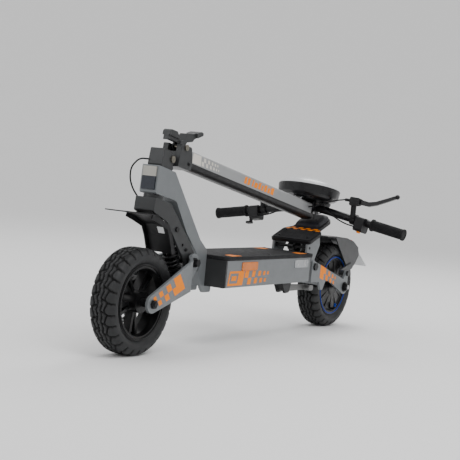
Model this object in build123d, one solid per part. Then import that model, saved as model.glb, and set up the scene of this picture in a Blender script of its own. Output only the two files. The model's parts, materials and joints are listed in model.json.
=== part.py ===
from build123d import *
import os
from math import atan2, cos, degrees, hypot, radians, sin, tan

# Electric kick scooter, folded. Millimetres, +X forward, +Y left, +Z up.
# Every outline below is drawn with x = 0 under the front axle and z = 0 on the ground;
# write() shifts the finished model so that its origin is the bottom centre of its box.

# ---------------------------------------------------------------- driving dimensions
WHEELBASE = 1016.0
TYRE_RADIUS = 127.5
TYRE_WIDTH = 72.0
REAR_OVERHANG = 215.0        # rear axle to the tip of the mud flap
BAR_SPAN = 624.0             # handlebar, end to end
RAKE = 11.0                  # steering axis leans back, degrees
STEM_DIP = 9.75              # folded stem slopes down to the rear, degrees
STEM_LENGTH = 752.0          # fold hinge to the end of the stem tube
DECK_LENGTH = 467.0
DECK_WIDTH = 170.0
DECK_HEIGHT = 70.0
DECK_BOTTOM = 155.5
NECK_WIDTH = 48.0
STEM_WIDTH = 48.0
STEM_DEPTH = 47.0

# fits and walls
RUNNING = 0.05               # radial clearance of a turning pin
SEAT = 0.05                  # clearance of a fixed fit
GAP = 0.4                    # clearance between parts that move past each other
WALL = 3.0                   # sheet and extrusion wall
PLATE = 7.0                  # side plates of the swing arms

# key points, (x, z)
FRONT_AXLE = (0.0, TYRE_RADIUS)
REAR_AXLE = (-WHEELBASE, TYRE_RADIUS)
NECK_TOP = (-62.0, 444.0)    # steering axis at the top face of the neck
HEAD_LENGTH = 66.5           # neck height along the steering axis
CROWN_GAP = 9.8              # neck bottom to the fork crown, along the axis
HINGE = (-86.0, 467.0)       # fold hinge
FRONT_PIVOT = (-193.0, 218.0)
DECK_FRONT = -274.0
DECK_REAR = DECK_FRONT - DECK_LENGTH
DECK_TOP = DECK_BOTTOM + DECK_HEIGHT
REAR_PIVOT = (DECK_REAR - 64.0, DECK_TOP - 30.5)

# wheels
BEAD_RADIUS = 86.0
RIM_RADIUS = BEAD_RADIUS - 0.3
FLANGE_RADIUS = BEAD_RADIUS + 5.0
RIM_HALF = 29.0
BEAD_HALF = 26.0
AXLE_RADIUS = 6.0
MOTOR_AXLE_RADIUS = 7.0
DISC_RADIUS = 60.0
DISC_THICK = 2.0
FRONT_DISC_Y = -33.0
REAR_DISC_Y = -37.0

# fork and neck
FORK_HALF = 29.0
FORK_WALL = 7.0
STEERER_RADIUS = 14.0
BEARING_RADIUS = 21.0
BEARING_HEIGHT = 8.0
PIVOT_RADIUS = 8.0
PIVOT_END = 24.0             # round end of the fork legs and arms at the pivot

# swing arms
FRONT_ARM_IN = 53.0          # inner face of the flat part of the front arm
FRONT_ARM_ROOT = 33.0        # inner face of the arm at the fork pivot
REAR_ARM_IN = 60.0
BRACKET_IN = 52.0
BRACKET_WALL = 6.5
ARM_END = 22.0
FRONT_BRIDGE = (-147.0, 166.0)
REAR_BRIDGE = (REAR_PIVOT[0] - 41.0, REAR_PIVOT[1] - 45.0)
STAY_BOLT = (REAR_AXLE[0] - 11.0, REAR_AXLE[1] + 41.0)

# shock absorbers: eye, eye, spring radius
FRONT_SHOCK_TOP = (-119.0, 299.0)
FRONT_SHOCK_FOOT = (-165.0, 184.0)
REAR_SHOCK_TOP = (DECK_REAR - 34.0, DECK_TOP + 23.0)
REAR_SHOCK_FOOT = (REAR_PIVOT[0] - 87.0, REAR_PIVOT[1] + 37.0)
EYE_RADIUS = 11.0
EYE_BOLT = 4.0
EYE_PLAY = 1.6               # play of the eye at the opened pivot
SHOCK_ROD = 5.0
SPRING_RADIUS = 17.5
SPRING_WIRE = 3.2
SPRING_TURNS = 6
SEAT_RADIUS = 21.5
LUG_IN = 10.0
LUG_WALL = 5.0

# deck fittings
LID = 3.0
MAT = 7.0
MARKER = (80.0, 22.0, 3.5)
MARKER_SINK = 1.5
FOOT_ANGLE = 20.0            # footrest slope, degrees
FOOT_FRONT = (DECK_REAR - 22.0, DECK_TOP + 46.5)
FOOT_HALF = 65.0
FOOT_LENGTH = 195.0
FOOT_TAIL_HALF = 45.0
FOOT_THICK = 9.0
FOOT_MAT = 3.0
STAND_PIVOT = (-642.0, 139.0)
STAND_LENGTH = 132.0
STAND_Y = 55.0
STAND_HALF = 7.0

# fold block and latch, in the stem's own frame: u along the stem, n across it
MATE = 18.0                  # hinge to the mating faces
BASE_HALF = 20.0
TONGUE_HALF = 9.0
TOP_HALF = 27.0
PIN_RADIUS = 5.0
LATCH_PIN = 4.0
LATCH_U, LATCH_N = 39.0, 38.0
HOOK_U, HOOK_N = 45.0, 50.0
HOOK_LIP = 44.5              # the lip's height: it swings just clear of the lower block
STEM_LOW = -9.5

# cockpit
BAR_U, BAR_N = STEM_LENGTH + 33.5, 34.5
BAR_RADIUS = 11.1
BAR_SLEEVE = 15.9
BAR_DROOP = 10.0             # back sweep of each half, degrees
GRIP_LENGTH = 104.0
GRIP_RADIUS = 16.0
POD_U = STEM_LENGTH + 10.5
POD_RADIUS = 92.5
LEVER_THICK = 8.0
CABLE = 2.0                  # cable radius


# ---------------------------------------------------------------- helpers
def outline(corners, radii=0.0):
    """Face from 2-D corners, each rounded by its radius."""
    return make_face(FilletPolyline(*corners, radius=radii, close=True))


def prism(sketch, y_low, y_high):
    """Side view (x, z) extruded from y_low to y_high."""
    return Pos(0, y_low, 0) * extrude(Plane.XZ * sketch, amount=y_high - y_low, dir=(0, 1, 0))


def slab(corners, y_low, y_high, radii=0.0):
    return prism(outline(corners, radii), y_low, y_high)


def disc(point, radius, y_low, y_high):
    """Round bar along Y."""
    return prism(Pos(*point) * Circle(radius), y_low, y_high)


def tube(point, outer, inner, y_low, y_high):
    return disc(point, outer, y_low, y_high) - disc(point, inner, y_low - 1, y_high + 1)


def hexagon(point, radius, y_low, y_high):
    return prism(Pos(*point) * RegularPolygon(radius, 6), y_low, y_high)


def link(*circles):
    """Convex side outline round several (point, radius) circles."""
    edges = ShapeList()
    for point, radius in circles:
        edges += (Pos(*point) * Circle(radius)).edges()
    return make_hull(edges)


def rod(start, end, radius):
    """Round bar between two points in space."""
    way = Vector(*end) - Vector(*start)
    lift = (Align.CENTER, Align.CENTER, Align.MIN)
    return Plane(origin=start, z_dir=way) * Cylinder(radius, way.length, align=lift)


def lathe_y(profile, point):
    """Turn (radius, y) corners round an axle along Y."""
    return Pos(point[0], 0, point[1]) * revolve(outline(profile), Axis.Y)


def both_sides(shape):
    return shape + mirror(shape, about=Plane.XZ)


def sides(shape):
    """A piece and its mirror image as two separate solids."""
    return Compound(shape.solids() + mirror(shape, about=Plane.XZ).solids())


def steered(shape):
    """From the steering frame, whose z runs up the steering axis from the neck's top."""
    return Pos(NECK_TOP[0], 0, NECK_TOP[1]) * Rot(0, -RAKE, 0) * shape


def stemmed(shape):
    """From the stem frame, whose -x runs along the stem from the fold hinge."""
    return Pos(HINGE[0], 0, HINGE[1]) * Rot(0, -STEM_DIP, 0) * shape


def flip(corners):
    """(u, n) corners of the stem frame as (x, z)."""
    return [(-u, n) for u, n in corners]


def beside(points, distance):
    """Open line moved sideways: upwards where the line runs towards -x."""
    moved = []
    for i, (x, z) in enumerate(points):
        before = points[max(i - 1, 0)]
        after = points[min(i + 1, len(points) - 1)]
        run = hypot(after[0] - before[0], after[1] - before[1])
        moved.append((x + (after[1] - before[1]) / run * distance, z - (after[0] - before[0]) / run * distance))
    return moved


def band(points, thickness):
    """Corners of a strip of even thickness along an open line."""
    return points + beside(points, thickness)[::-1]


def cord(points, radius):
    """Cable along straight runs and the largest tangent arcs that they allow."""
    corners = [Vector(*p) for p in points]
    radii = []
    for a, b, c in zip(corners, corners[1:], corners[2:]):
        turn = radians((b - a).get_angle(c - b))
        radii.append(0.45 * min((b - a).length, (c - b).length) / tan(turn / 2))
    path = FilletPolyline(*points, radius=radii)
    start = Plane(origin=path @ 0, z_dir=path % 0)
    print("cord radii", [round(r) for r in radii], "length", round(path.length))
    return sweep(start * Circle(radius), path=path)


def along(start, end, distance):
    """Point (x, z) at a distance from start towards end."""
    run = hypot(end[0] - start[0], end[1] - start[1])
    share = distance / run
    return (start[0] + (end[0] - start[0]) * share, start[1] + (end[1] - start[1]) * share)


# ---------------------------------------------------------------- frame
def neck_frame():
    """Head and neck: side plates on a box section, feet hooked under the deck."""
    half = NECK_WIDTH / 2
    body = slab([(-28, 451.6), (-99, 437), (-237, 273), (-270, 249), (DECK_FRONT, 243),
                 (DECK_FRONT, DECK_BOTTOM - 0.3), (DECK_FRONT - 32, DECK_BOTTOM - 0.3),
                 (DECK_FRONT - 32, 138), (-270, 138), (-258, 150), (-241, 194), (-249, 217),
                 (-172, 290), (-114, 367), (-97, 371), (-23, 384)],
                -half, half, [4, 6, 30, 6, 0, 0, 4, 6, 6, 4, 10, 8, 40, 12, 4, 5])
    body -= slab([(-122, 374), (-112, 410), (-232, 267), (-268, 244), (DECK_FRONT + 4, 160),
                  (-252, 166), (-247, 192), (-255, 219), (-177, 294)],
                 -half + 5, half - 5, 3)
    body -= Pos(DECK_FRONT - 12, 0, 150) * Box(60, NECK_WIDTH - 14, 46)
    keep = steered(Pos(0, 0, -300) * Box(900, 200, 600))
    body = body & keep
    body -= steered(Pos(0, 0, -HEAD_LENGTH / 2) * Cylinder(BEARING_RADIUS - 3, HEAD_LENGTH + 20))
    for z in (-BEARING_HEIGHT / 2, -HEAD_LENGTH + BEARING_HEIGHT / 2):
        body -= steered(Pos(0, 0, z) * Cylinder(BEARING_RADIUS, BEARING_HEIGHT + 0.02))
    body -= steered(Pos(0, 0, -HEAD_LENGTH - 10) * Cylinder(BEARING_RADIUS + 6, 20))
    (x1, z1), (x2, z2) = HEADLIGHT_BACK
    return body - slab([(x1 - 0.1, z1 + 0.2), (0, z1 + 0.2), (0, z2 - 0.2), (x2 - 0.1, z2 - 0.2)], -19.2, 19.2)


HEADLIGHT_BACK = [(-31.5, 447.0), (-28.6, 392.0)]


def headlight_housing():
    (x1, z1), (x2, z2) = HEADLIGHT_BACK
    body = slab([(x1, z1), (-27.5, z1), (-23.5, z2), (x2, z2)], -19, 19)
    return body - slab([(x1 + 1.2, z1 - 3), (0, z1 - 3), (0, z2 + 3), (x2 + 1.2, z2 + 3)], -16, 16)


def headlight_lens():
    (x1, z1), (x2, z2) = HEADLIGHT_BACK
    return slab([(-27.4, z1), (-24, z1), (-20, z2), (-23.4, z2)], -19, 19, 0.8)


def headset_bearings():
    rings = []
    for z in (-BEARING_HEIGHT / 2, -HEAD_LENGTH + BEARING_HEIGHT / 2):
        ring = Cylinder(BEARING_RADIUS - SEAT, BEARING_HEIGHT)
        ring -= Cylinder(STEERER_RADIUS + RUNNING, BEARING_HEIGHT + 2)
        rings.append(steered(Pos(0, 0, z) * ring).solid())
    return Compound(rings)


def deck_shell():
    """Tub extrusion open at the top, with shallow seats for the side markers."""
    length = DECK_LENGTH - 12
    middle = DECK_FRONT - DECK_LENGTH / 2
    box = Pos(middle, 0, DECK_BOTTOM + DECK_HEIGHT / 2) * Box(length, DECK_WIDTH, DECK_HEIGHT)
    box = fillet(box.edges().filter_by(Axis.X).group_by(Axis.Z)[0], 5)
    box -= Pos(middle, 0, DECK_TOP) * Box(length + 2, DECK_WIDTH - 2 * WALL, 2 * (DECK_HEIGHT - WALL))
    for x in marker_places():
        seat = Box(MARKER[0] + 0.4, 2 * MARKER_SINK, MARKER[1] + 0.4)
        for y in (-DECK_WIDTH / 2, DECK_WIDTH / 2):
            box -= Pos(x, y, marker_height()) * seat
    return box


def marker_places():
    return (DECK_FRONT - 118.0, DECK_REAR + 61.0)


def marker_height():
    return DECK_TOP - 5 - MARKER[1] / 2


def side_markers():
    """Amber markers in front and clear ones behind, on both sides of the deck."""
    lamps = []
    for x in marker_places():
        lamp = Box(MARKER[0], MARKER[2], MARKER[1])
        lamp = fillet(lamp.edges().filter_by(Axis.Y), 5)
        y = DECK_WIDTH / 2 - MARKER_SINK + MARKER[2] / 2 + 0.05
        for side in (-y, y):
            lamps.append((Pos(x, side, marker_height()) * lamp).solid())
    return Compound(lamps)


def deck_end_plates():
    plates = []
    for x in (DECK_FRONT - 3, DECK_REAR + 3):
        plate = Box(6, DECK_WIDTH, DECK_HEIGHT)
        plate = fillet(plate.edges().filter_by(Axis.X).group_by(Axis.Z)[0], 5)
        plates.append((Pos(x, 0, DECK_BOTTOM + DECK_HEIGHT / 2) * plate).solid())
    return Compound(plates)


def deck_plan(front, rear, half, thickness, z):
    plate = Pos((front + rear) / 2, 0, z + thickness / 2) * Box(front - rear, 2 * half, thickness)
    return fillet(plate.edges().filter_by(Axis.Z), 14)


def deck_lid():
    return deck_plan(DECK_FRONT - 0.3, DECK_REAR - 13, DECK_WIDTH / 2 + 1, LID, DECK_TOP)


def deck_mat():
    return deck_plan(DECK_FRONT - 2, DECK_REAR - 15, DECK_WIDTH / 2 + 0.5, MAT, DECK_TOP + LID)


def battery_pack():
    length = DECK_LENGTH - 117
    x = DECK_FRONT - 16 - length / 2
    case = Box(length, DECK_WIDTH - 30, DECK_HEIGHT - 13)
    case = fillet(case.edges().filter_by(Axis.X), 4)
    return Pos(x, 0, DECK_BOTTOM + WALL + 0.1 + (DECK_HEIGHT - 13) / 2) * case


def motor_controller():
    """Finned aluminium box behind the battery."""
    case = Pos(DECK_REAR + 51, 0, DECK_BOTTOM + WALL + 0.1 + 18) * Box(70, 110, 36)
    for i in range(-5, 6):
        case -= Pos(DECK_REAR + 51, i * 9.5, DECK_BOTTOM + WALL + 35) * Box(72, 4, 8)
    return case


def foot_frame(shape):
    """From the footrest's frame: x = 0 at the front edge, -x up the slope, z = 0 underneath."""
    return Pos(FOOT_FRONT[0], 0, foot_under_z()) * Rot(0, FOOT_ANGLE, 0) * shape


def foot_under_z():
    return FOOT_FRONT[1] - (FOOT_THICK + FOOT_MAT) / cos(radians(FOOT_ANGLE))


def foot_plan(inset):
    """Wide front plate with a narrower rounded tail."""
    wide = FOOT_HALF - inset
    tail = FOOT_TAIL_HALF - inset
    end = -FOOT_LENGTH + inset
    half_plan = [(-inset, -wide), (-inset, wide), (-74, wide), (-98, tail), (end, tail),
                 (end, -tail), (-98, -tail), (-74, -wide)]
    return outline(half_plan, [8, 8, 10, 14, 30, 30, 14, 10])


def footrest_tray():
    tray = foot_frame(extrude(foot_plan(0), amount=FOOT_THICK, dir=(0, 0, 1)))
    pocket = extrude(foot_plan(WALL), amount=FOOT_THICK, dir=(0, 0, 1))
    return tray - foot_frame(Pos(0, 0, FOOT_THICK - 1) * pocket)


def footrest_mat():
    pad = extrude(foot_plan(WALL + 0.5), amount=FOOT_MAT + 1, dir=(0, 0, 1))
    return foot_frame(Pos(0, 0, FOOT_THICK - 1) * pad)


def footrest_brackets():
    """Side plates behind the deck that carry the footrest, the shock and the rear arms."""
    rise = tan(radians(FOOT_ANGLE))
    front = DECK_REAR - 21
    back = DECK_REAR - 93
    top_front = foot_under_z() + (FOOT_FRONT[0] - front) * rise
    top_back = foot_under_z() + (FOOT_FRONT[0] - back) * rise
    px, pz = REAR_PIVOT
    plate = slab([(DECK_REAR - 0.1, DECK_BOTTOM + 6), (DECK_REAR - 0.1, DECK_TOP - 2),
                  (front + 5, DECK_TOP - 2), (front, DECK_TOP + 6), (front, top_front), (back, top_back),
                  (back - 5, top_back - 28), (px - 8, pz + 20), (px - 16, pz - 14), (px + 12, pz - 20)],
                 BRACKET_IN, BRACKET_IN + BRACKET_WALL, [0, 2, 3, 3, 0, 0, 4, 8, 10, 8])
    plate += disc(REAR_PIVOT, 20, BRACKET_IN, BRACKET_IN + BRACKET_WALL)
    plate -= disc(REAR_PIVOT, PIVOT_RADIUS + SEAT, 0, 100)
    plate -= disc(REAR_SHOCK_TOP, EYE_BOLT + SEAT, 0, 100)
    return sides(plate)


def rear_pivot_bolts():
    """Swing-arm axle and the shock's upper bolt, both across the brackets."""
    outer = REAR_ARM_IN + PLATE
    axle = disc(REAR_PIVOT, PIVOT_RADIUS, -outer, outer)
    axle += both_sides(hexagon(REAR_PIVOT, 12, outer + GAP, outer + 5))
    axle += both_sides(disc(REAR_PIVOT, PIVOT_RADIUS, outer - 1, outer + 2))
    bolt = disc(REAR_SHOCK_TOP, EYE_BOLT, -BRACKET_IN - BRACKET_WALL - 1, BRACKET_IN + BRACKET_WALL + 1)
    heads = hexagon(REAR_SHOCK_TOP, 7, BRACKET_IN - 5, BRACKET_IN - 0.1)
    bolt += both_sides(heads)
    return Compound(axle.solids() + bolt.solids())


def kickstand_bracket():
    """Clevis under the deck with the stand's pin."""
    x, z = STAND_PIVOT
    cheek = slab([(x + 34, DECK_BOTTOM - 0.1), (x + 12, z - 14), (x - 10, z - 12), (x - 20, DECK_BOTTOM - 0.1)],
                 0, 7, [2, 5, 5, 2])
    low = STAND_Y - STAND_HALF - GAP
    high = STAND_Y + STAND_HALF + GAP
    body = Pos(0, low - 7, 0) * cheek + Pos(0, high, 0) * cheek
    body += slab([(x + 34, DECK_BOTTOM - 0.1), (x + 16, DECK_BOTTOM - 22), (x + 13, DECK_BOTTOM - 12),
                  (x + 18, DECK_BOTTOM - 0.1)], low - 1, high + 1)
    return body + disc(STAND_PIVOT, 5, low - 3, high + 3)


def kickstand_leg():
    x, z = STAND_PIVOT
    foot = (x - STAND_LENGTH, z - 3)
    leg = prism(link((STAND_PIVOT, 10), (foot, 6.5)), STAND_Y - STAND_HALF, STAND_Y + STAND_HALF)
    leg += prism(link(((foot[0] + 14, foot[1]), 7.5), (foot, 7.5)), STAND_Y - STAND_HALF, STAND_Y + 24)
    return leg - disc(STAND_PIVOT, 5 + RUNNING, 0, 100)


# ---------------------------------------------------------------- steering
def fork():
    """Crown, two legs that trail back to the swing-arm pivot, and the steerer."""
    body = slab([(-18, 374.5), (-14, 341), (-74, 318), (-176, 207), (-215, 228), (-178, 271), (-84, 361.6)],
                -FORK_HALF, FORK_HALF, [3, 5, 16, 0, 0, 14, 6])
    body += disc(FRONT_PIVOT, PIVOT_END, -FORK_HALF, FORK_HALF)
    inner = FORK_HALF - FORK_WALL
    body -= slab([(20, 150), (20, 341), (-60, 346), (-100, 346), (-260, 346), (-260, 150)], -inner, inner)
    body &= steered(Pos(0, 0, -HEAD_LENGTH - CROWN_GAP - 300) * Box(900, 200, 600))
    low = -HEAD_LENGTH - CROWN_GAP - 4
    lift = (Align.CENTER, Align.CENTER, Align.MIN)
    body += steered(Pos(0, 0, low) * Cylinder(STEERER_RADIUS, 11.5 - low, align=lift))
    body += steered(Pos(0, 0, low) * Cylinder(BEARING_RADIUS + 3, CROWN_GAP + 4 - 1, align=lift))
    body -= disc(FRONT_PIVOT, PIVOT_RADIUS + SEAT, -60, 60)
    body -= disc(FRONT_SHOCK_TOP, EYE_BOLT + SEAT, -60, 60)
    return body - disc((-150, 261), 4, -60, 60)


def fold_base():
    """Lower fold block on the steerer: two hinge ears and the mating face."""
    dx, dz = HINGE[0] - NECK_TOP[0], HINGE[1] - NECK_TOP[1]
    a = radians(RAKE)
    hinge = (dx * cos(a) + dz * sin(a), dz * cos(a) - dx * sin(a))
    top = hinge[1] + MATE - 0.2
    front = hinge[0] + HOOK_LIP - 3.6
    block = slab([(hinge[0] - 13, 1), (front - 2, 1), (front, 6), (front, top), (-7, top)],
                 -BASE_HALF, BASE_HALF, [4, 3, 3, 3, 0])
    block += disc(hinge, 13, -BASE_HALF, BASE_HALF)
    reach = TONGUE_HALF + GAP
    block -= Pos(hinge[0] - 15, 0, hinge[1] + 20) * Box(60, 2 * reach, 69)
    block -= Pos(0, 0, 6) * Cylinder(STEERER_RADIUS + SEAT, 12.2)
    block -= disc(hinge, PIN_RADIUS + RUNNING, -60, 60)
    return steered(block)


def front_fender_line():
    return [(86, 341), (50, 338.5), (0, 336.5), (-30, 327), (-72, 311), (-89, 284), (-106, 242)]


def front_fender():
    """Bent guard under the crown, with turned-down edges and two tabs to the fork."""
    line = front_fender_line()
    guard = slab(band(line, -2.5), -38, 38)
    guard += both_sides(slab(band(line[2:], -13), 35.5, 38))
    tab = slab([(-24, 328), (-24, 337.05), (-44, 329.4), (-44, 320.5)], FORK_HALF - 6, FORK_HALF - 1)
    return guard + both_sides(tab)


def front_pivot_bolts():
    """Axle through the fork legs and the front arms, and the shock's upper bolt."""
    outer = FRONT_ARM_ROOT + PLATE
    axle = disc(FRONT_PIVOT, PIVOT_RADIUS, -outer - 4, outer + 4)
    washer = tube(FRONT_PIVOT, 12, PIVOT_RADIUS - 1, outer + GAP, outer + 4)
    axle += both_sides(washer + hexagon(FRONT_PIVOT, 10, outer + 3, outer + 13))
    bolt = disc(FRONT_SHOCK_TOP, EYE_BOLT, -FORK_HALF, FORK_HALF)
    bolt += both_sides(disc(FRONT_SHOCK_TOP, 6.5, FORK_HALF + 0.1, FORK_HALF + 3))
    bolt += both_sides(disc(FRONT_SHOCK_TOP, EYE_BOLT, FORK_HALF - 1, FORK_HALF + 1))
    return Compound(axle.solids() + bolt.solids())


def head_cable():
    """Brake and lamp lead that loops round the neck's right front corner."""
    side = -BASE_HALF
    lead = cord([(-42, side + 2, 463), (-40, side - 24, 463), (-17, -50, 440), (-17, -50, 412),
                 (-27, -46, 388), (-33, 2 - FORK_HALF, 364)], CABLE)
    return lead - fold_base() - fork()


# ---------------------------------------------------------------- stem and latch
def fold_top():
    """Upper fold block: hinge tongue, mating face, latch channel and stem socket."""
    block = slab(flip([(MATE + 0.1, -13), (MATE + 0.1, 44), (64, 43.5), (76, 12), (76, -13)]),
                 -TOP_HALF, TOP_HALF, [3, 3, 6, 6, 4])
    tongue = prism(link(((0, 0), 12), ((-MATE - 8, 0), 12)), -TONGUE_HALF, TONGUE_HALF)
    block += tongue
    block -= slab(flip([(10, 24), (10, 60), (58, 60), (58, 24)]), -12.6, 12.6)
    block -= stem_bar(59.8, 90, SEAT)
    block -= disc((0, 0), PIN_RADIUS + SEAT, -60, 60)
    block -= disc((-LATCH_U, LATCH_N), LATCH_PIN + SEAT, -60, 60)
    return stemmed(block)


def stem_section(grow):
    """Stem cross-section (y, n): flat top, well rounded underside."""
    half = STEM_WIDTH / 2 + grow
    low = STEM_LOW - grow
    high = STEM_LOW + STEM_DEPTH + grow
    return outline([(-half, low), (half, low), (half, high), (-half, high)],
                   [18 + grow, 18 + grow, 6 + grow, 6 + grow])


def stem_bar(u_low, u_high, grow):
    """Prism of the stem section between two distances from the hinge."""
    return Pos(-u_high, 0, 0) * extrude(Plane.YZ * stem_section(grow), amount=u_high - u_low, dir=(1, 0, 0))


def stem_tube():
    return stemmed(stem_bar(60, STEM_LENGTH, 0) - stem_bar(55, STEM_LENGTH + 5, -WALL))


def fold_pins():
    """Hinge pin and latch pin with their heads."""
    pins = []
    for point, radius, half in (((0, 0), PIN_RADIUS, BASE_HALF), ((-LATCH_U, LATCH_N), LATCH_PIN, TOP_HALF)):
        pin = disc(point, radius, -half - 1, half + 1)
        pin += both_sides(disc(point, radius + 3.5, half + 0.2, half + 3.5))
        pins.append(stemmed(pin).solid())
    return Compound(pins)


def latch_lever():
    """Deep lever with two cheeks round the latch pin, a cross pin for the hook and a finger plate."""
    plate = slab(flip([(51, 56), (54, 70), (58, 77), (84, 82), (110, 94), (119, 92), (119, 86), (90, 70),
                       (84, 62), (62, 55.5)]), -12, 12, [1, 3, 3, 10, 2, 2, 4, 8, 5, 10])
    plate += slab(flip([(94, 73), (92, 85.6), (110, 94), (119, 92), (119, 86)]), -17, 17, [3, 3, 2, 2, 4])
    cheek = prism(link(((-LATCH_U, LATCH_N), 9), ((-HOOK_U, HOOK_N), 6.5), ((-58, 57), 3)), 7.6, 12)
    lever = plate + both_sides(cheek)
    lever += disc((-HOOK_U, HOOK_N), 2.5, -12, 12)
    return stemmed(lever - disc((-LATCH_U, LATCH_N), LATCH_PIN + RUNNING, -60, 60))


def latch_hook():
    """Thick finger over the fold blocks, with a wide back and a lip in front of the lower one."""
    finger = [(-17, HOOK_LIP), (-17, 59), (30, 59), (35, HOOK_N + 3.5), (HOOK_U, HOOK_N + 3.5),
              (HOOK_U, HOOK_N - 3), (-13, HOOK_N - 3), (-13, HOOK_LIP)]
    hook = prism(Pos(-HOOK_U, HOOK_N) * Circle(5), -7, 7)
    hook += slab(flip(finger), -7, 7, [0.8, 1, 4, 1, 0, 0, 0.8, 0.8])
    hook += slab(flip([(-17, 56), (-17, 66), (-11, 71), (14, 71), (30, 58), (30, 56)]), -11, 11,
                 [1, 2, 2, 6, 1, 1])
    return stemmed(hook - disc((-HOOK_U, HOOK_N), 2.5 + RUNNING, -60, 60))


def bar_clamp():
    """Plug in the stem's end and a split ring round the handlebar."""
    clamp = stem_bar(STEM_LENGTH - 30, STEM_LENGTH + 1, -WALL - SEAT)
    clamp += stem_bar(STEM_LENGTH + 0.1, BAR_U - 18, 0)
    clamp += disc((-BAR_U, BAR_N), 24, -22, 22)
    clamp += slab(flip([(BAR_U - 22, -4), (BAR_U + 4, -4), (BAR_U + 12, 14), (BAR_U + 8, 30), (BAR_U - 22, 30)]),
                  -18, 18, [2, 6, 6, 2, 2])
    clamp -= disc((-BAR_U, BAR_N), BAR_SLEEVE + SEAT, -60, 60)
    clamp -= slab(flip([(BAR_U - 1.2, -10), (BAR_U + 1.2, -10), (BAR_U + 1.2, 30), (BAR_U - 1.2, 30)]), -30, 30)
    bolts = both_sides(Pos(0, 10, 0) * rod((-BAR_U - 14, 0, 6), (-BAR_U - 7, 0, 6), 4))
    return stemmed(clamp + bolts)


def bar_plane():
    """Frame of the left bar half: z along the bar, y towards the rider."""
    a = radians(BAR_DROOP)
    return Plane(origin=(-BAR_U, 0, BAR_N), x_dir=(1, 0, 0), z_dir=(0, cos(a), -sin(a)))


def bar_length():
    return BAR_SPAN / 2 / cos(radians(BAR_DROOP)) - 3


def on_bar(shape):
    return bar_plane() * shape


def bar_ring(outer, inner, low, high):
    """Ring round the left bar half between two distances from its middle."""
    ring = Cylinder(outer, high - low) - Cylinder(inner, high - low + 2)
    return Pos(0, 0, (low + high) / 2) * ring


def handlebar():
    lift = (Align.CENTER, Align.CENTER, Align.MIN)
    half = on_bar(Cylinder(BAR_RADIUS, bar_length(), align=lift))
    hollow = on_bar(Pos(0, 0, 30) * Cylinder(BAR_RADIUS - 2, bar_length(), align=lift))
    bar = both_sides(half) + disc((-BAR_U, BAR_N), BAR_SLEEVE, -25, 25)
    return stemmed(bar - both_sides(hollow))


def grips():
    end = bar_length() + 2
    grip = bar_ring(GRIP_RADIUS, BAR_RADIUS + SEAT, end - GRIP_LENGTH, end)
    grip += bar_ring(GRIP_RADIUS + 2.5, BAR_RADIUS + SEAT, end - GRIP_LENGTH, end - GRIP_LENGTH + 5)
    grip += Pos(0, 0, end) * Cylinder(GRIP_RADIUS + 1, 2)
    return sides(stemmed(on_bar(grip)))


def lever_points():
    """Brake lever centre line in the (y, n) plane, with half widths."""
    pivot = (164.0, 58.0)
    return [(pivot, 8.0), ((200.0, 52.5), 6.5), ((222.0, 57.0), 5.5), ((252.0, 69.0), 5.0), ((283.0, 82.0), 4.5)]


LEVER_U = STEM_LENGTH + 8.0


def across_stem(sketch, u, half):
    """(y, n) sketch extruded along the stem about u."""
    return Pos(-u - half, 0, 0) * extrude(Plane.YZ * sketch, amount=2 * half, dir=(1, 0, 0))


def brake_perch():
    (py, pn), root = lever_points()[0]
    ring = on_bar(bar_ring(16, BAR_RADIUS + SEAT, 144, 160))
    arm = rod((-BAR_U + 13, 150, 12), (-LEVER_U - 2, 152, 48), 8)
    arm -= on_bar(Pos(0, 0, 152) * Cylinder(BAR_RADIUS + SEAT, 60))
    head = across_stem(outline([(py - 22, pn - 16), (py + 8, pn - 10), (py + 11, pn + 9), (py - 22, pn + 11)],
                               [5, 4, 5, 5]), LEVER_U, 11)
    head -= across_stem(outline([(py - 10, pn - 40), (py + 60, pn - 40), (py + 60, pn + 40), (py - 10, pn + 40)]),
                        LEVER_U, LEVER_THICK / 2 + GAP)
    pin = across_stem(Pos(py, pn) * Circle(3), LEVER_U, 12)
    adjuster = rod((-LEVER_U, py - 20, pn + 1), (-LEVER_U, py - 40, pn + 2), 4.5)
    return ring + arm + head + pin + adjuster


def brake_perches():
    return sides(stemmed(brake_perch()))


def brake_lever():
    chain = lever_points()
    blade = across_stem(link(chain[0], chain[1]), LEVER_U, LEVER_THICK / 2)
    for a, b in zip(chain[1:], chain[2:]):
        blade += across_stem(link(a, b), LEVER_U, LEVER_THICK / 2)
    (ty, tn), _ = chain[-1]
    blade += Pos(-LEVER_U, ty, tn) * Sphere(7)
    (py, pn), _ = chain[0]
    return blade - across_stem(Pos(py, pn) * Circle(3 + RUNNING), LEVER_U, 30)


POD_LOW = 166.0              # switch housing, along the bar
POD_HIGH = 194.0
POD_DEEP = 30.0
BUTTON_RADIUS = 6.0
BUTTON_GAP = 0.25


def switch_body():
    middle = (POD_LOW + POD_HIGH) / 2
    body = Pos(1, 9, middle) * Box(44, 2 * (POD_DEEP - 9), POD_HIGH - POD_LOW)
    body = fillet(body.edges().filter_by(Axis.Z), 9)
    return body - Pos(0, 0, middle) * Cylinder(BAR_RADIUS + SEAT, 60)


def button_place():
    return Pos(6, POD_DEEP, (POD_LOW + POD_HIGH) / 2) * Rot(90, 0, 0)


def switch_housings():
    """Left switch housing with a button well, right throttle housing."""
    left = switch_body() - button_place() * Cylinder(BUTTON_RADIUS + BUTTON_GAP, 16)
    right = switch_body()
    parts = stemmed(on_bar(left)).solids() + mirror(stemmed(on_bar(right)), about=Plane.XZ).solids()
    return Compound(parts)


def horn_button():
    button = button_place() * Cylinder(BUTTON_RADIUS, 9)
    return stemmed(on_bar(fillet(button.edges().group_by(Axis.Y)[-1], 1.5)))


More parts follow.
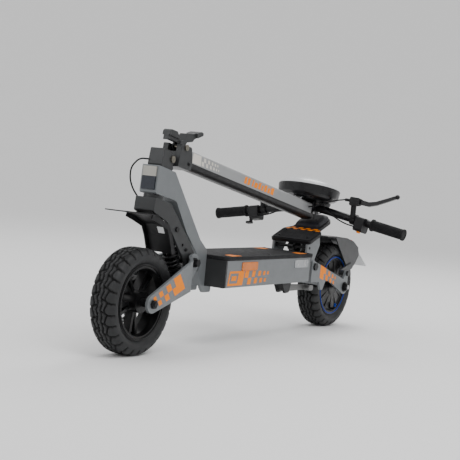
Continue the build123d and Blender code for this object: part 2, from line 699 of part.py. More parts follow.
def throttle_paddle():
    """Thumb paddle that turns round the right bar half beside its housing."""
    low = POD_HIGH + GAP
    hub = bar_ring(15, BAR_RADIUS + RUNNING, low, low + 7)
    paddle = Pos(2, 26, low + 3.5) * Box(9, 26, 7)
    pad = Pos(2, 37, low + 9) * Box(20, 6, 18)
    pad = fillet(pad.edges().filter_by(Axis.Y), 4)
    cut = Pos(0, 0, low + 3.5) * Cylinder(BAR_RADIUS + RUNNING, 60)
    return mirror(stemmed(on_bar(hub + paddle + pad - cut)), about=Plane.XZ)


SCREEN_TILT = 35.0
SCREEN_RADIUS = 33.0


def screen_plane():
    a = radians(SCREEN_TILT)
    return Plane(origin=(-POD_U - 79, 0, 44), x_dir=(0, 1, 0), z_dir=(-sin(a), 0, -cos(a)))


def display_housing():
    """Saucer in front of the bar, with a short drum that holds the screen."""
    shell = revolve(Plane.XZ * outline([(0, 113), (46, 109), (78, 97), (POD_RADIUS, 84),
                                        (POD_RADIUS - 3, 60), (82, 53), (62, 47), (0, 47)],
                                       [0, 60, 40, 4, 4, 8, 8, 0]), Axis.Z)
    room = revolve(Plane.XZ * outline([(0, 109), (45, 105), (76, 93), (POD_RADIUS - 4, 82),
                                       (POD_RADIUS - 7, 67), (80, 64), (0, 64)]), Axis.Z)
    shell = Pos(-POD_U, 0, 0) * (shell - room)
    lift = (Align.CENTER, Align.CENTER, Align.MAX)
    drum = screen_plane() * Cylinder(SCREEN_RADIUS + 4, 34, align=lift)
    drum -= screen_plane() * Pos(0, 0, -3) * Cylinder(SCREEN_RADIUS + 0.2, 20, align=(Align.CENTER, Align.CENTER, Align.MIN))
    body = shell + drum
    body -= disc((-BAR_U, BAR_N), 24.3, -22.4, 22.4)
    body -= disc((-BAR_U, BAR_N), BAR_SLEEVE + 0.4, -60, 60)
    body -= slab(flip([(POD_U - 80, 0), (POD_U - 80, 38.2), (BAR_U, 38.2), (BAR_U, 0)]), -25, 25)
    return stemmed(body.solids().sort_by(SortBy.VOLUME)[-1])


def display_screen():
    glass = screen_plane() * Cylinder(SCREEN_RADIUS, 2.8, align=(Align.CENTER, Align.CENTER, Align.MAX))
    return stemmed(glass)


def bar_point(x, y, z):
    """Point of the left bar half's frame in the stem frame."""
    a = radians(BAR_DROOP)
    return (-BAR_U + x, z * cos(a) - y * sin(a), BAR_N - z * sin(a) - y * cos(a))


def cockpit_cables():
    """Brake cables into the stem's sides and switch leads up into the display."""
    side = STEM_WIDTH / 2
    brake = [(-LEVER_U, 123.55, 60), (-LEVER_U + 2, 98, 55), (-LEVER_U + 14, 72, 44),
             (-LEVER_U + 24, 50, 30), (-LEVER_U + 30, side + 0.1, 23)]
    lead = [bar_point(14, 20, POD_LOW - 0.1), bar_point(14, 20, POD_LOW - 26), (-BAR_U + 16, 112, -2),
            (-BAR_U + 19, 84, 12), (-BAR_U + 22, 60, 26), (-BAR_U + 24, 50, 46.9)]
    trim = stem_bar(0, BAR_U - 18, 0) + revolve(Plane.XZ * outline([(0, 47), (70, 47), (70, 60), (0, 60)]),
                                                Axis.Z).moved(Pos(-POD_U, 0, 0))
    runs = []
    for points in (brake, lead):
        for hand in (1, -1):
            run = cord([(x, y * hand, z) for x, y, z in points], CABLE) - trim
            runs.append(stemmed(run).solids().sort_by(SortBy.VOLUME)[-1])
    return Compound(runs)


# ---------------------------------------------------------------- wheels
def tyre(point):
    """Air tyre: flat-crowned tread, open towards the rim."""
    r, w = TYRE_RADIUS, TYRE_WIDTH / 2
    outer = [(BEAD_RADIUS, BEAD_HALF), (BEAD_RADIUS + 6, BEAD_HALF), (BEAD_RADIUS + 9, w - 5), (r - 23, w),
             (r - 11, w - 2), (r - 3, w - 9), (r, w - 16)]
    inner = [(r - 8, w - 18), (r - 13, w - 11), (r - 23, w - 8), (BEAD_RADIUS + 5, BEAD_HALF - 5),
             (BEAD_RADIUS, BEAD_HALF - 7)]
    half = outer + [(a, -b) for a, b in outer[::-1]]
    hole = [(a, -b) for a, b in inner[::-1]] + inner
    return lathe_y(half + hole, point)


def rim_ring():
    """Half-section of a rim: barrel with a flange at each side, (radius, y)."""
    return [(RIM_RADIUS - 5, RIM_HALF), (FLANGE_RADIUS, RIM_HALF), (FLANGE_RADIUS, BEAD_HALF + 0.3),
            (RIM_RADIUS, BEAD_HALF + 0.3), (RIM_RADIUS, 16), (RIM_RADIUS - 4, 12),
            (RIM_RADIUS - 4, -12), (RIM_RADIUS, -16), (RIM_RADIUS, -BEAD_HALF - 0.3),
            (FLANGE_RADIUS, -BEAD_HALF - 0.3), (FLANGE_RADIUS, -RIM_HALF), (RIM_RADIUS - 5, -RIM_HALF),
            (RIM_RADIUS - 7.5, -14), (RIM_RADIUS - 7.5, 14)]


def front_rim():
    """Cast rim with five pairs of spokes, running on the axle."""
    rim = lathe_y(rim_ring(), FRONT_AXLE)
    rim += disc(FRONT_AXLE, 26, -31.8, 28)
    spoke = Pos(52, 0, 0) * Box(60, 20, 8)
    for i in range(5):
        for side in (-9, 9):
            turned = Rot(0, 72 * i + 18 + side, 0) * spoke
            rim += Pos(FRONT_AXLE[0], 0, FRONT_AXLE[1]) * turned
    return rim - disc(FRONT_AXLE, AXLE_RADIUS + RUNNING, -60, 60)


def brake_disc(point, y, bore):
    """Vented disc: band, six arms and a bolted middle."""
    half = DISC_THICK / 2
    ring = tube(point, DISC_RADIUS, DISC_RADIUS - 13, y - half, y + half)
    ring += tube(point, 25, bore, y - half, y + half)
    for i in range(6):
        arm = Rot(0, 60 * i, 0) * Pos(36, 0, 0) * Box(26, DISC_THICK, 7)
        ring += Pos(point[0], y, point[1]) * arm
    for i in range(24):
        a = radians(15 * i)
        hole = (point[0] + (DISC_RADIUS - 6.5) * cos(a), point[1] + (DISC_RADIUS - 6.5) * sin(a))
        ring -= disc(hole, 2.4, y - 5, y + 5)
    return ring


def caliper(point, y, low_y, high_y, arm_y, angle):
    """Two-pad caliper astride the disc, on a lug that meets the arm's inner face."""
    body = Pos(DISC_RADIUS + 1, (low_y + high_y) / 2, 0) * Box(28, high_y - low_y, 44)
    body = fillet(body.edges().filter_by(Axis.Y), 5)
    body -= Pos(DISC_RADIUS - 12, y, 0) * Box(34, DISC_THICK + 1.2, 60)
    lug = Pos(DISC_RADIUS + 6, (low_y + arm_y) / 2, 0) * Box(14, low_y - arm_y + 0.02, 26)
    return Pos(point[0], 0, point[1]) * Rot(0, angle, 0) * (body + lug)


def front_disc():
    return brake_disc(FRONT_AXLE, FRONT_DISC_Y, 14)


def front_axle():
    """Axle and its two nuts outside the arms."""
    outer = FRONT_ARM_IN + PLATE
    axle = disc(FRONT_AXLE, AXLE_RADIUS, -outer - 9, outer + 9)
    spacer = tube(FRONT_AXLE, 10, AXLE_RADIUS - 1, 28 + GAP, FRONT_ARM_IN - 0.1)
    axle += spacer
    axle += mirror(tube(FRONT_AXLE, 10, AXLE_RADIUS - 1, 35, FRONT_ARM_IN - 0.1), about=Plane.XZ)
    return axle + both_sides(hexagon(FRONT_AXLE, 11, outer + 0.1, outer + 7))


def front_caliper():
    return caliper(FRONT_AXLE, FRONT_DISC_Y, -44, -24, -FRONT_ARM_IN + 0.1, -150)


# ---------------------------------------------------------------- front arm and shock
def front_arms():
    """Two cranked side plates joined by a bridge tube with the shock's lugs."""
    crease_top, crease_low = (-152, 219), (-170, 158)
    flat = link((FRONT_AXLE, ARM_END), (crease_top, 4), (crease_low, 4))
    root = link((FRONT_PIVOT, PIVOT_END - 2), (crease_top, 4), (crease_low, 4))
    side_view = prism(flat + root, 20, 80)
    out, inn = FRONT_ARM_IN, FRONT_ARM_ROOT
    plan = outline([(80, out), (80, out + PLATE), (-158, out + PLATE), (-180, inn + PLATE), (-260, inn + PLATE),
                    (-260, inn), (-176, inn), (-154, out)], [0, 0, 8, 8, 0, 0, 8, 8])
    plate = side_view & extrude(plan, amount=500, dir=(0, 0, 1))
    arms = both_sides(plate) + disc(FRONT_BRIDGE, 11, -out - 1, out + 1)
    lug = prism(link((FRONT_BRIDGE, 11), (FRONT_SHOCK_FOOT, 9)), LUG_IN, LUG_IN + LUG_WALL)
    arms += both_sides(lug) + disc(FRONT_SHOCK_FOOT, EYE_BOLT, -LUG_IN - 1, LUG_IN + 1)
    arms -= disc(FRONT_PIVOT, PIVOT_RADIUS + RUNNING, -60, 60)
    return arms - disc(FRONT_AXLE, AXLE_RADIUS + SEAT, -90, 90)


def shock_frame(top, foot):
    """Frame of a shock: origin at the upper eye, z towards the lower eye."""
    return Plane(origin=(top[0], 0, top[1]), x_dir=(0, 1, 0), z_dir=(foot[0] - top[0], 0, foot[1] - top[1]))


def shock_length(top, foot):
    return hypot(foot[0] - top[0], foot[1] - top[1])


TOP_SEAT = 24.0
FOOT_SEAT = 22.0
BODY_DEEP = 70.0


def eye(bore, half):
    ring = Rot(0, 90, 0) * Cylinder(EYE_RADIUS, 2 * half)
    return ring, Rot(0, 90, 0) * Cylinder(bore, 2 * half + 10)


def shock_body(top, foot):
    """Upper eye, damper tube and upper spring seat."""
    ring, bore = eye(EYE_BOLT + RUNNING, 9)
    lift = (Align.CENTER, Align.CENTER, Align.MIN)
    body = ring + Cylinder(11, BODY_DEEP, align=lift) + Pos(0, 0, TOP_SEAT - 6) * Cylinder(SEAT_RADIUS, 6, align=lift)
    body -= Pos(0, 0, 30) * Cylinder(SHOCK_ROD + RUNNING, 100, align=lift)
    return shock_frame(top, foot) * (body - bore)


def shock_rod(top, foot):
    """Lower eye, lower spring seat and piston rod."""
    length = shock_length(top, foot)
    ring, bore = eye(EYE_BOLT + EYE_PLAY, 9)
    lift = (Align.CENTER, Align.CENTER, Align.MAX)
    rod_part = Pos(0, 0, length) * ring + Pos(0, 0, length) * Cylinder(SHOCK_ROD, length - 48, align=lift)
    rod_part += Pos(0, 0, length - FOOT_SEAT + 6) * Cylinder(SEAT_RADIUS, 6, align=lift)
    return shock_frame(top, foot) * (rod_part - Pos(0, 0, length) * bore)


def shock_spring(top, foot):
    """Coil between the two seats."""
    free = shock_length(top, foot) - TOP_SEAT - FOOT_SEAT
    height = free - 2 * SPRING_WIRE - 0.4
    path = Helix(pitch=height / SPRING_TURNS, height=height, radius=SPRING_RADIUS)
    start = Plane(origin=path @ 0, z_dir=path % 0)
    coil = sweep(start * Circle(SPRING_WIRE), path=path, is_frenet=True)
    return shock_frame(top, foot) * Pos(0, 0, TOP_SEAT + SPRING_WIRE + 0.2) * coil


# ---------------------------------------------------------------- rear arm
def rear_arms():
    """Side plates outside the brackets, bridge tube and shock horn."""
    px, pz = REAR_PIVOT
    ax, az = REAR_AXLE
    view = outline([(px + 18, pz + 20), (ax + 4, az + 22), (ax + 8, az - 21), (px - 100, pz - 44), (px - 76, pz - 46),
                    (px - 62, pz - 70), (px - 47, pz - 70), (px - 37, pz - 46), (px + 18, pz - 46)],
                   [6, 0, 0, 30, 8, 6, 6, 8, 4])
    view += link((REAR_AXLE, ARM_END), (STAY_BOLT, 8))
    inner, outer = REAR_ARM_IN, REAR_ARM_IN + PLATE
    arms = both_sides(prism(view, inner, outer)) + disc(REAR_BRIDGE, 11, -inner - 1, inner + 1)
    knee = (px - 78, pz - 10)
    lug = link((REAR_BRIDGE, 11), (knee, 10)), link((knee, 10), (REAR_SHOCK_FOOT, 9))
    arms += both_sides(prism(lug[0] + lug[1], LUG_IN, LUG_IN + LUG_WALL))
    arms += disc(REAR_SHOCK_FOOT, EYE_BOLT, -LUG_IN - 1, LUG_IN + 1)
    arms -= disc(REAR_PIVOT, PIVOT_RADIUS + RUNNING, -90, 90)
    arms -= both_sides(disc(STAY_BOLT, 4 + SEAT, inner - 1, outer + 1))
    return arms - disc(REAR_AXLE, MOTOR_AXLE_RADIUS + SEAT, -90, 90)


def motor_stator():
    """Fixed middle of the hub motor: wound core on the axle, with outer nuts."""
    outer = REAR_ARM_IN + PLATE
    core = disc(REAR_AXLE, 68, -15, 15)
    for i in range(18):
        a = radians(20 * i)
        slot = (REAR_AXLE[0] + 62 * cos(a), REAR_AXLE[1] + 62 * sin(a))
        core -= disc(slot, 4, -20, 20)
    axle = disc(REAR_AXLE, MOTOR_AXLE_RADIUS, -outer - 12, outer + 12)
    spacer = tube(REAR_AXLE, 11, MOTOR_AXLE_RADIUS - 1, 38.5, REAR_ARM_IN - 0.1)
    return core + axle + both_sides(spacer) + both_sides(hexagon(REAR_AXLE, 13, outer + 0.1, outer + 9))


def hub_motor_shell():
    """Turning shell of the hub motor: rim, two ribbed covers and the magnet room."""
    shell = lathe_y(rim_ring(), REAR_AXLE)
    covers = lathe_y([(0, -30), (28, -30), (34, -27), (74, -24), (RIM_RADIUS - 3, -27), (RIM_RADIUS - 3, 27),
                      (74, 24), (34, 27), (28, 30), (0, 30)], REAR_AXLE)
    covers -= lathe_y([(0, -20), (72, -20), (72, 20), (0, 20)], REAR_AXLE)
    shell += covers + disc(REAR_AXLE, 22, -36, -25)
    for i in range(12):
        rib = Rot(0, 30 * i, 0) * Pos(52, 0, 0) * Box(42, 54.5, 3)
        middle = Rot(0, 30 * i, 0) * Pos(52, 0, 0) * Box(60, 46, 4)
        shell += Pos(REAR_AXLE[0], 0, REAR_AXLE[1]) * (rib - middle)
    return shell - disc(REAR_AXLE, MOTOR_AXLE_RADIUS + RUNNING, -60, 60)


def rear_disc():
    return brake_disc(REAR_AXLE, REAR_DISC_Y, 14)


def rear_caliper():
    return caliper(REAR_AXLE, REAR_DISC_Y, -46, -30.6, -REAR_ARM_IN + 0.1, -30)


def rear_fender_line():
    ax, az = REAR_AXLE
    return [(ax + 94, az + 150), (ax + 40, az + 150), (ax - 41, az + 144), (ax - 92, az + 133),
            (ax - 130, az + 113)]


def rear_fender():
    """Arched guard on the rear arm, with side skirts and a bolted stay at each side."""
    line = rear_fender_line()
    ax, az = REAR_AXLE
    guard = slab(band(line, 3), -42.5, 42.5)
    skirt = line[1:] + [(ax - 140, az + 92), (ax - 112, az + 62), (ax - 84, az + 45), (ax - 60, az + 55),
                        (ax - 7, az + 104)]
    guard += both_sides(slab(skirt, 39.5, 42.5, [2, 0, 0, 0, 10, 10, 8, 8, 8]))
    stay = prism(link(((ax - 84, az + 60), 10), (STAY_BOLT, 9)), 42.4, 46.5)
    post = disc(STAY_BOLT, 8, 46, REAR_ARM_IN - 0.1) + disc(STAY_BOLT, 4, 46, REAR_ARM_IN + PLATE + 1)
    head = hexagon(STAY_BOLT, 9, REAR_ARM_IN + PLATE + 0.1, REAR_ARM_IN + PLATE + 7)
    return guard + both_sides(stay + post + head)


def tail_lamp():
    """Lamp on the guard's rear slope."""
    a, b = beside(rear_fender_line(), 3.1)[-2:]
    tilt = degrees(atan2(b[1] - a[1], a[0] - b[0]))
    lamp = fillet(Box(26, 58, 9).edges().filter_by(Axis.Z), 6)
    return Pos((a[0] + b[0]) / 2, 0, (a[1] + b[1]) / 2) * Rot(0, tilt, 0) * Pos(0, 0, 4.5) * lamp


def rear_mud_flap():
    """Soft flap under the guard's end, reaching out behind it."""
    line = rear_fender_line()
    tip = (-WHEELBASE - REAR_OVERHANG, REAR_AXLE[1] + 57)
    top = beside(line, -0.1)[-2:] + [tip]
    low = beside(line, -3.1)[-2:] + [(tip[0] + 2, tip[1] - 3)]
    return slab(top + low[::-1], -36, 36)


# ---------------------------------------------------------------- all parts
def build():
    front_shock = (FRONT_SHOCK_TOP, FRONT_SHOCK_FOOT)
    rear_shock = (REAR_SHOCK_TOP, REAR_SHOCK_FOOT)
    lever = stemmed(brake_lever())
    return {
        "neck_frame": neck_frame(),
        "headset_bearings": headset_bearings(),
        "headlight_housing": headlight_housing(),
        "headlight_lens": headlight_lens(),
        "deck_shell": deck_shell(),
        "deck_end_plates": deck_end_plates(),
        "deck_lid": deck_lid(),
        "deck_mat": deck_mat(),
        "battery_pack": battery_pack(),
        "motor_controller": motor_controller(),
        "side_markers": side_markers(),
        "footrest_brackets": footrest_brackets(),
        "footrest_tray": footrest_tray(),
        "footrest_mat": footrest_mat(),
        "rear_pivot_bolts": rear_pivot_bolts(),
        "kickstand_bracket": kickstand_bracket(),
        "kickstand_leg": kickstand_leg(),
        "fork": fork(),
        "fold_base": fold_base(),
        "front_fender": front_fender(),
        "front_pivot_bolts": front_pivot_bolts(),
        "head_cable": head_cable(),
        "fold_top": fold_top(),
        "fold_pins": fold_pins(),
        "stem_tube": stem_tube(),
        "latch_lever": latch_lever(),
        "latch_hook": latch_hook(),
        "bar_clamp": bar_clamp(),
        "handlebar": handlebar(),
        "grips": grips(),
        "brake_perches": brake_perches(),
        "brake_lever_left": lever,
        "brake_lever_right": mirror(lever, about=Plane.XZ),
        "switch_housings": switch_housings(),
        "horn_button": horn_button(),
        "throttle_paddle": throttle_paddle(),
        "display_housing": display_housing(),
        "display_screen": display_screen(),
        "cockpit_cables": cockpit_cables(),
        "front_tyre": tyre(FRONT_AXLE),
        "front_rim": front_rim(),
        "front_disc": front_disc(),
        "front_axle": front_axle(),
        "front_caliper": front_caliper(),
        "front_arms": front_arms(),
        "front_shock_body": shock_body(*front_shock),
        "front_shock_rod": shock_rod(*front_shock),
        "front_spring": shock_spring(*front_shock),
        "rear_arms": rear_arms(),
        "motor_stator": motor_stator(),
        "hub_motor_shell": hub_motor_shell(),
        "rear_tyre": tyre(REAR_AXLE),
        "rear_disc": rear_disc(),
        "rear_caliper": rear_caliper(),
        "rear_fender": rear_fender(),
        "tail_lamp": tail_lamp(),
        "rear_mud_flap": rear_mud_flap(),
        "rear_shock_body": shock_body(*rear_shock),
        "rear_shock_rod": shock_rod(*rear_shock),
        "rear_spring": shock_spring(*rear_shock),
    }


def write(parts):
    """Write one STEP per node, with the origin at the bottom centre of the whole box."""
    os.makedirs("parts", exist_ok=True)
    front = TYRE_RADIUS
    rear = -WHEELBASE - REAR_OVERHANG
    shift = Pos(-(front + rear) / 2, 0, 0)
    for name, shape in parts.items():
        solids = [shift * solid for solid in shape.solids()]
        export_step(Compound(solids) if len(solids) > 1 else solids[0], f"parts/{name}.step")


write(build())
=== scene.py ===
"""Looks for a folded electric kick scooter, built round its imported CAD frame.

The CAD nodes keep their shape and take painted, moulded or machined finishes. The tyres,
the grips and the shock springs are built again here with their tread, ribs and coils, and
small fittings (graphics, screws, rim rings, valves, pads) ride on the bodies they belong to.
All sizes are in metres, in the frame of the CAD model.
"""

from __future__ import annotations

import json
import logging
import math
from dataclasses import dataclass, field
from enum import Enum
from typing import Any, Callable, Sequence

import bpy
import numpy as np
from mathutils import Matrix, Vector

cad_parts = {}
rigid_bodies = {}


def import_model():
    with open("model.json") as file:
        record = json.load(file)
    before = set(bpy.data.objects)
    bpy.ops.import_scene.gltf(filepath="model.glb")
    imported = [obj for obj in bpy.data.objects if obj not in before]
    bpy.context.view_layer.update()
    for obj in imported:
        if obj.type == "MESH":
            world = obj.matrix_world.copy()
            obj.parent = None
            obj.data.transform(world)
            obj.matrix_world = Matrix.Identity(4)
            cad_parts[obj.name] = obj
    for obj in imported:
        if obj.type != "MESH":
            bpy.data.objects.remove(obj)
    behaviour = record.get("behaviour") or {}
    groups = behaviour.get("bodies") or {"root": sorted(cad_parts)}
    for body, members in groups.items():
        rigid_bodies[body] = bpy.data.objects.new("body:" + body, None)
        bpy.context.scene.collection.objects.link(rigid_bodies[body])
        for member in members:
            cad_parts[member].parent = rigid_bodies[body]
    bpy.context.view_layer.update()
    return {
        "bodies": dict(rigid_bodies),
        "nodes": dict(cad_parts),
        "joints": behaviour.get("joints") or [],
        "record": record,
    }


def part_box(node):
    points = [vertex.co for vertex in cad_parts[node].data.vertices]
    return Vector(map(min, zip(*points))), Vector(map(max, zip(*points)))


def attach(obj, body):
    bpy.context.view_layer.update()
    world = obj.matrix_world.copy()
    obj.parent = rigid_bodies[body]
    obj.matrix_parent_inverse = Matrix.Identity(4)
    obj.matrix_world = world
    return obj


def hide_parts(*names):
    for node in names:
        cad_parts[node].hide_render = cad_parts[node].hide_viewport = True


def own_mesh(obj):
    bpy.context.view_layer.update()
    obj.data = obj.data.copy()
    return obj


LOG = logging.getLogger("scooter")
MM = 0.001
Color = tuple[float, float, float]
Point2 = tuple[float, float]
SIDES = ((1, "left"), (-1, "right"))
DECAL = 0.0002  # thickness of the printed graphics
DECAL_GAP = 0.0001  # their stand-off from the paint
SMOOTH_ANGLE = math.radians(38)  # faces meeting at less flow into each other
EYE_RADIUS = 0.0110  # the shocks' lower eyes


# ------------------------------------------------------------------ finishes
class Grain(Enum):
    """Surface texture of a finish."""

    FLAKE = "flake"
    MOULDED = "moulded"
    BRUSHED = "brushed"
    WOVEN = "woven"
    RIBBED = "ribbed"
    TREAD = "tread"


@dataclass(frozen=True)
class Finish:
    """One surface finish: its colour, gloss and fine texture."""

    name: str
    color: Color
    rough: float = 0.45
    metal: float = 0.0
    coat: float = 0.0
    grain: Grain = Grain.MOULDED
    grain_scale: float = 900.0
    grain_depth: float = 0.00004
    drift: float = 0.12
    soft_edge: float = 0.0007
    alpha: float = 1.0
    clear: float = 0.0
    sheen: float = 0.0
    shine: float = 0.5
    second: Color | None = None
    split_along: Color = (0.0, 0.0, 1.0)
    split_at: float = 0.0
    mask: str = ""
    second_rough: float | None = None

    def material(self) -> bpy.types.Material:
        """Builds the material, or returns it where it exists.

        Returns:
            The material that carries this finish's name after "look_".
        """
        found = bpy.data.materials.get("look_" + self.name)
        if found:
            return found
        made = bpy.data.materials.new("look_" + self.name)
        made.use_nodes = True
        made.diffuse_color = (*self.color, 1.0)
        tree = made.node_tree
        shader = tree.nodes["Principled BSDF"]
        shader.inputs["Metallic"].default_value = self.metal
        shader.inputs["Coat Weight"].default_value = self.coat
        shader.inputs["Coat Roughness"].default_value = 0.12
        shader.inputs["Specular IOR Level"].default_value = self.shine
        shader.inputs["Alpha"].default_value = self.alpha
        shader.inputs["Transmission Weight"].default_value = self.clear
        shader.inputs["Sheen Weight"].default_value = self.sheen
        place = tree.nodes.new("ShaderNodeTexCoord").outputs["Object"]
        self._paint(tree, shader, place)
        self._texture(tree, shader, place)
        return made

    def _noise(self, tree: Any, place: Any, scale: float, detail: float) -> Any:
        """Adds a noise texture in the piece's own space.

        Args:
            tree: the material's node tree.
            place: the coordinates' socket.
            scale: how fine the noise is.
            detail: how many finer layers it has.

        Returns:
            The noise's value socket.
        """
        noise = tree.nodes.new("ShaderNodeTexNoise")
        noise.inputs["Scale"].default_value = scale
        noise.inputs["Detail"].default_value = detail
        tree.links.new(place, noise.inputs["Vector"])
        return noise.outputs["Fac"]

    def _mix(self, tree: Any, share: Any, first: Any, other: Any) -> Any:
        """Mixes two colours, each given as a value or as a socket.

        Args:
            tree: the material's node tree.
            share: the socket with the share of the second colour.
            first: the first colour.
            other: the second colour.

        Returns:
            The socket with the mixed colour.
        """
        mix = tree.nodes.new("ShaderNodeMix")
        mix.data_type = "RGBA"
        tree.links.new(share, mix.inputs["Factor"])
        for socket, value in ((mix.inputs[6], first), (mix.inputs[7], other)):
            if isinstance(value, tuple):
                socket.default_value = (*value, 1.0)
            else:
                tree.links.new(value, socket)
        return mix.outputs[2]

    def _range(self, tree: Any, value: Any, low: float, high: float) -> Any:
        """Spreads the middle of a noise, 0.3 to 0.7, over a range.

        Args:
            tree: the material's node tree.
            value: the noise's socket.
            low: the range's lower end.
            high: the range's upper end.

        Returns:
            The socket with the new value.
        """
        spread = tree.nodes.new("ShaderNodeMapRange")
        spread.inputs["From Min"].default_value = 0.3
        spread.inputs["From Max"].default_value = 0.7
        spread.inputs["To Min"].default_value = low
        spread.inputs["To Max"].default_value = high
        tree.links.new(value, spread.inputs["Value"])
        return spread.outputs["Result"]

    def _shades(self, tree: Any, place: Any, color: Color) -> Any:
        """Makes a colour that drifts slightly over the surface, as paint and rubber do.

        Args:
            tree: the material's node tree.
            place: the coordinates' socket.
            color: the middle colour.

        Returns:
            The socket with the colour.
        """
        dark = tuple(c * (1 - self.drift) for c in color)
        light = tuple(min(1.0, c * (1 + self.drift) + 0.002) for c in color)
        return self._mix(tree, self._noise(tree, place, 14.0, 6.0), dark, light)

    def _paint(self, tree: Any, shader: Any, place: Any) -> None:
        """Links the base colour and the roughness, in two fields where there is a second one.

        Args:
            tree: the material's node tree.
            shader: the main shader node.
            place: the coordinates' socket.
        """
        color = self._shades(tree, place, self.color)
        wear = self._noise(tree, place, 55.0, 8.0)
        rough = self._range(tree, wear, self.rough * 0.86, min(1.0, self.rough * 1.16))
        if self.second is not None:
            share = self._share(tree, place)
            color = self._mix(tree, share, color, self._shades(tree, place, self.second))
            second = self.rough if self.second_rough is None else self.second_rough
            gloss = tree.nodes.new("ShaderNodeMix")
            tree.links.new(share, gloss.inputs["Factor"])
            tree.links.new(rough, gloss.inputs[2])
            other = self._range(tree, wear, second * 0.86, min(1.0, second * 1.16))
            tree.links.new(other, gloss.inputs[3])
            rough = gloss.outputs[0]
        tree.links.new(color, shader.inputs["Base Color"])
        tree.links.new(rough, shader.inputs["Roughness"])

    def _share(self, tree: Any, place: Any) -> Any:
        """Finds where the second colour lies: by the mesh's mask, or on one side of a plane.

        Args:
            tree: the material's node tree.
            place: the coordinates' socket.

        Returns:
            The socket with the second colour's share.
        """
        if self.mask:
            mask = tree.nodes.new("ShaderNodeAttribute")
            mask.attribute_name = self.mask
            return mask.outputs["Fac"]
        reach = tree.nodes.new("ShaderNodeVectorMath")
        reach.operation = "DOT_PRODUCT"
        reach.inputs[1].default_value = self.split_along
        tree.links.new(place, reach.inputs[0])
        edge = tree.nodes.new("ShaderNodeMapRange")
        edge.inputs["From Min"].default_value = self.split_at - 0.0002
        edge.inputs["From Max"].default_value = self.split_at + 0.0002
        tree.links.new(reach.outputs["Value"], edge.inputs["Value"])
        return edge.outputs["Result"]

    def _texture(self, tree: Any, shader: Any, place: Any) -> None:
        """Adds the fine relief and softens the edges of CAD pieces.

        Args:
            tree: the material's node tree.
            shader: the main shader node.
            place: the coordinates' socket.
        """
        height = self._relief(tree, place)
        bump = tree.nodes.new("ShaderNodeBump")
        bump.inputs["Distance"].default_value = self.grain_depth
        bump.inputs["Strength"].default_value = 0.8
        tree.links.new(height, bump.inputs["Height"])
        if self.soft_edge > 0:
            edge = tree.nodes.new("ShaderNodeBevel")
            edge.samples = 4
            edge.inputs["Radius"].default_value = self.soft_edge
            tree.links.new(edge.outputs["Normal"], bump.inputs["Normal"])
        tree.links.new(bump.outputs["Normal"], shader.inputs["Normal"])

    def _relief(self, tree: Any, place: Any) -> Any:
        """Makes the relief of this finish's grain.

        Args:
            tree: the material's node tree.
            place: the coordinates' socket.

        Returns:
            The socket with the height.
        """
        if self.grain is Grain.BRUSHED:
            stretch = tree.nodes.new("ShaderNodeMapping")
            stretch.inputs["Scale"].default_value = (1.0, 24.0, 24.0)
            tree.links.new(place, stretch.inputs["Vector"])
            return self._noise(tree, stretch.outputs["Vector"], self.grain_scale, 4.0)
        if self.grain in (Grain.WOVEN, Grain.TREAD):
            cells = tree.nodes.new("ShaderNodeTexVoronoi")
            cells.inputs["Scale"].default_value = self.grain_scale
            tree.links.new(place, cells.inputs["Vector"])
            return cells.outputs["Distance"]
        if self.grain is Grain.RIBBED:
            wave = tree.nodes.new("ShaderNodeTexWave")
            wave.inputs["Scale"].default_value = self.grain_scale
            tree.links.new(place, wave.inputs["Vector"])
            return wave.outputs["Fac"]
        return self._noise(tree, place, self.grain_scale, 5.0)


SILVER = Finish("silver_paint", (0.172, 0.183, 0.191), 0.46, 0.3, 0.1, Grain.FLAKE, 1600, 0.00002, shine=0.35)
GREY = Finish("grey_paint", (0.165, 0.177, 0.185), 0.46, 0.3, 0.1, Grain.FLAKE, 1600, 0.00002, shine=0.3)
CHARCOAL = Finish("charcoal_paint", (0.036, 0.0375, 0.039), 0.42, 0.3, 0.1, Grain.FLAKE, 1200, 0.00003,
                  shine=0.3)
BLACK = Finish("black_paint", (0.006, 0.006, 0.007), 0.4, 0.2, 0.1, Grain.FLAKE, 1200, 0.00003, shine=0.25)
CAST = Finish("cast_alloy", (0.0035, 0.0035, 0.004), 0.34, 0.2, 0.1, Grain.MOULDED, 500, 0.00005, shine=0.25)
PLASTIC = Finish("black_plastic", (0.006, 0.006, 0.007), 0.46, grain_scale=1100, grain_depth=0.00006,
                 shine=0.25)
RUBBER = Finish("rubber", (0.007, 0.007, 0.008), 0.7, grain_scale=1500, grain_depth=0.00008, shine=0.2)
MAT = Finish("deck_rubber", (0.018, 0.018, 0.0195), 0.74, grain=Grain.TREAD, grain_scale=330,
             grain_depth=0.0006, shine=0.2)
# The tread's cuts take a near-black second colour through the "groove" mask: painted shade in the grooves.
TYRE = Finish("tyre_rubber", (0.013, 0.0135, 0.0145), 0.55, mask="groove", second=(0.002, 0.002, 0.002),
              second_rough=0.95, grain_scale=1300, grain_depth=0.00012,
              drift=0.3, soft_edge=0.0, shine=0.4)
STEEL = Finish("bare_steel", (0.42, 0.42, 0.43), 0.28, 1.0, grain=Grain.BRUSHED, grain_scale=60)
BRASSY = Finish("zinc_steel", (0.2, 0.185, 0.155), 0.35, 1.0, grain=Grain.BRUSHED, grain_scale=60)
DARK_STEEL = Finish("dark_steel", (0.012, 0.012, 0.013), 0.36, 0.5, grain_scale=700, shine=0.3)
LEVER = Finish("dark_lever", (0.008, 0.008, 0.009), 0.32, 0.3, 0.1, Grain.FLAKE, 900, shine=0.3)
STAND = Finish("stand_alloy", (0.17, 0.172, 0.17), 0.46, 0.8, grain=Grain.BRUSHED, grain_scale=70)
ORANGE = Finish("orange_vinyl", (0.93, 0.235, 0.0), 0.5, grain_depth=0.00001, soft_edge=0.0, shine=0.15)
PALE = Finish("pale_vinyl", (0.62, 0.585, 0.53), 0.45, grain_depth=0.00001, soft_edge=0.0)
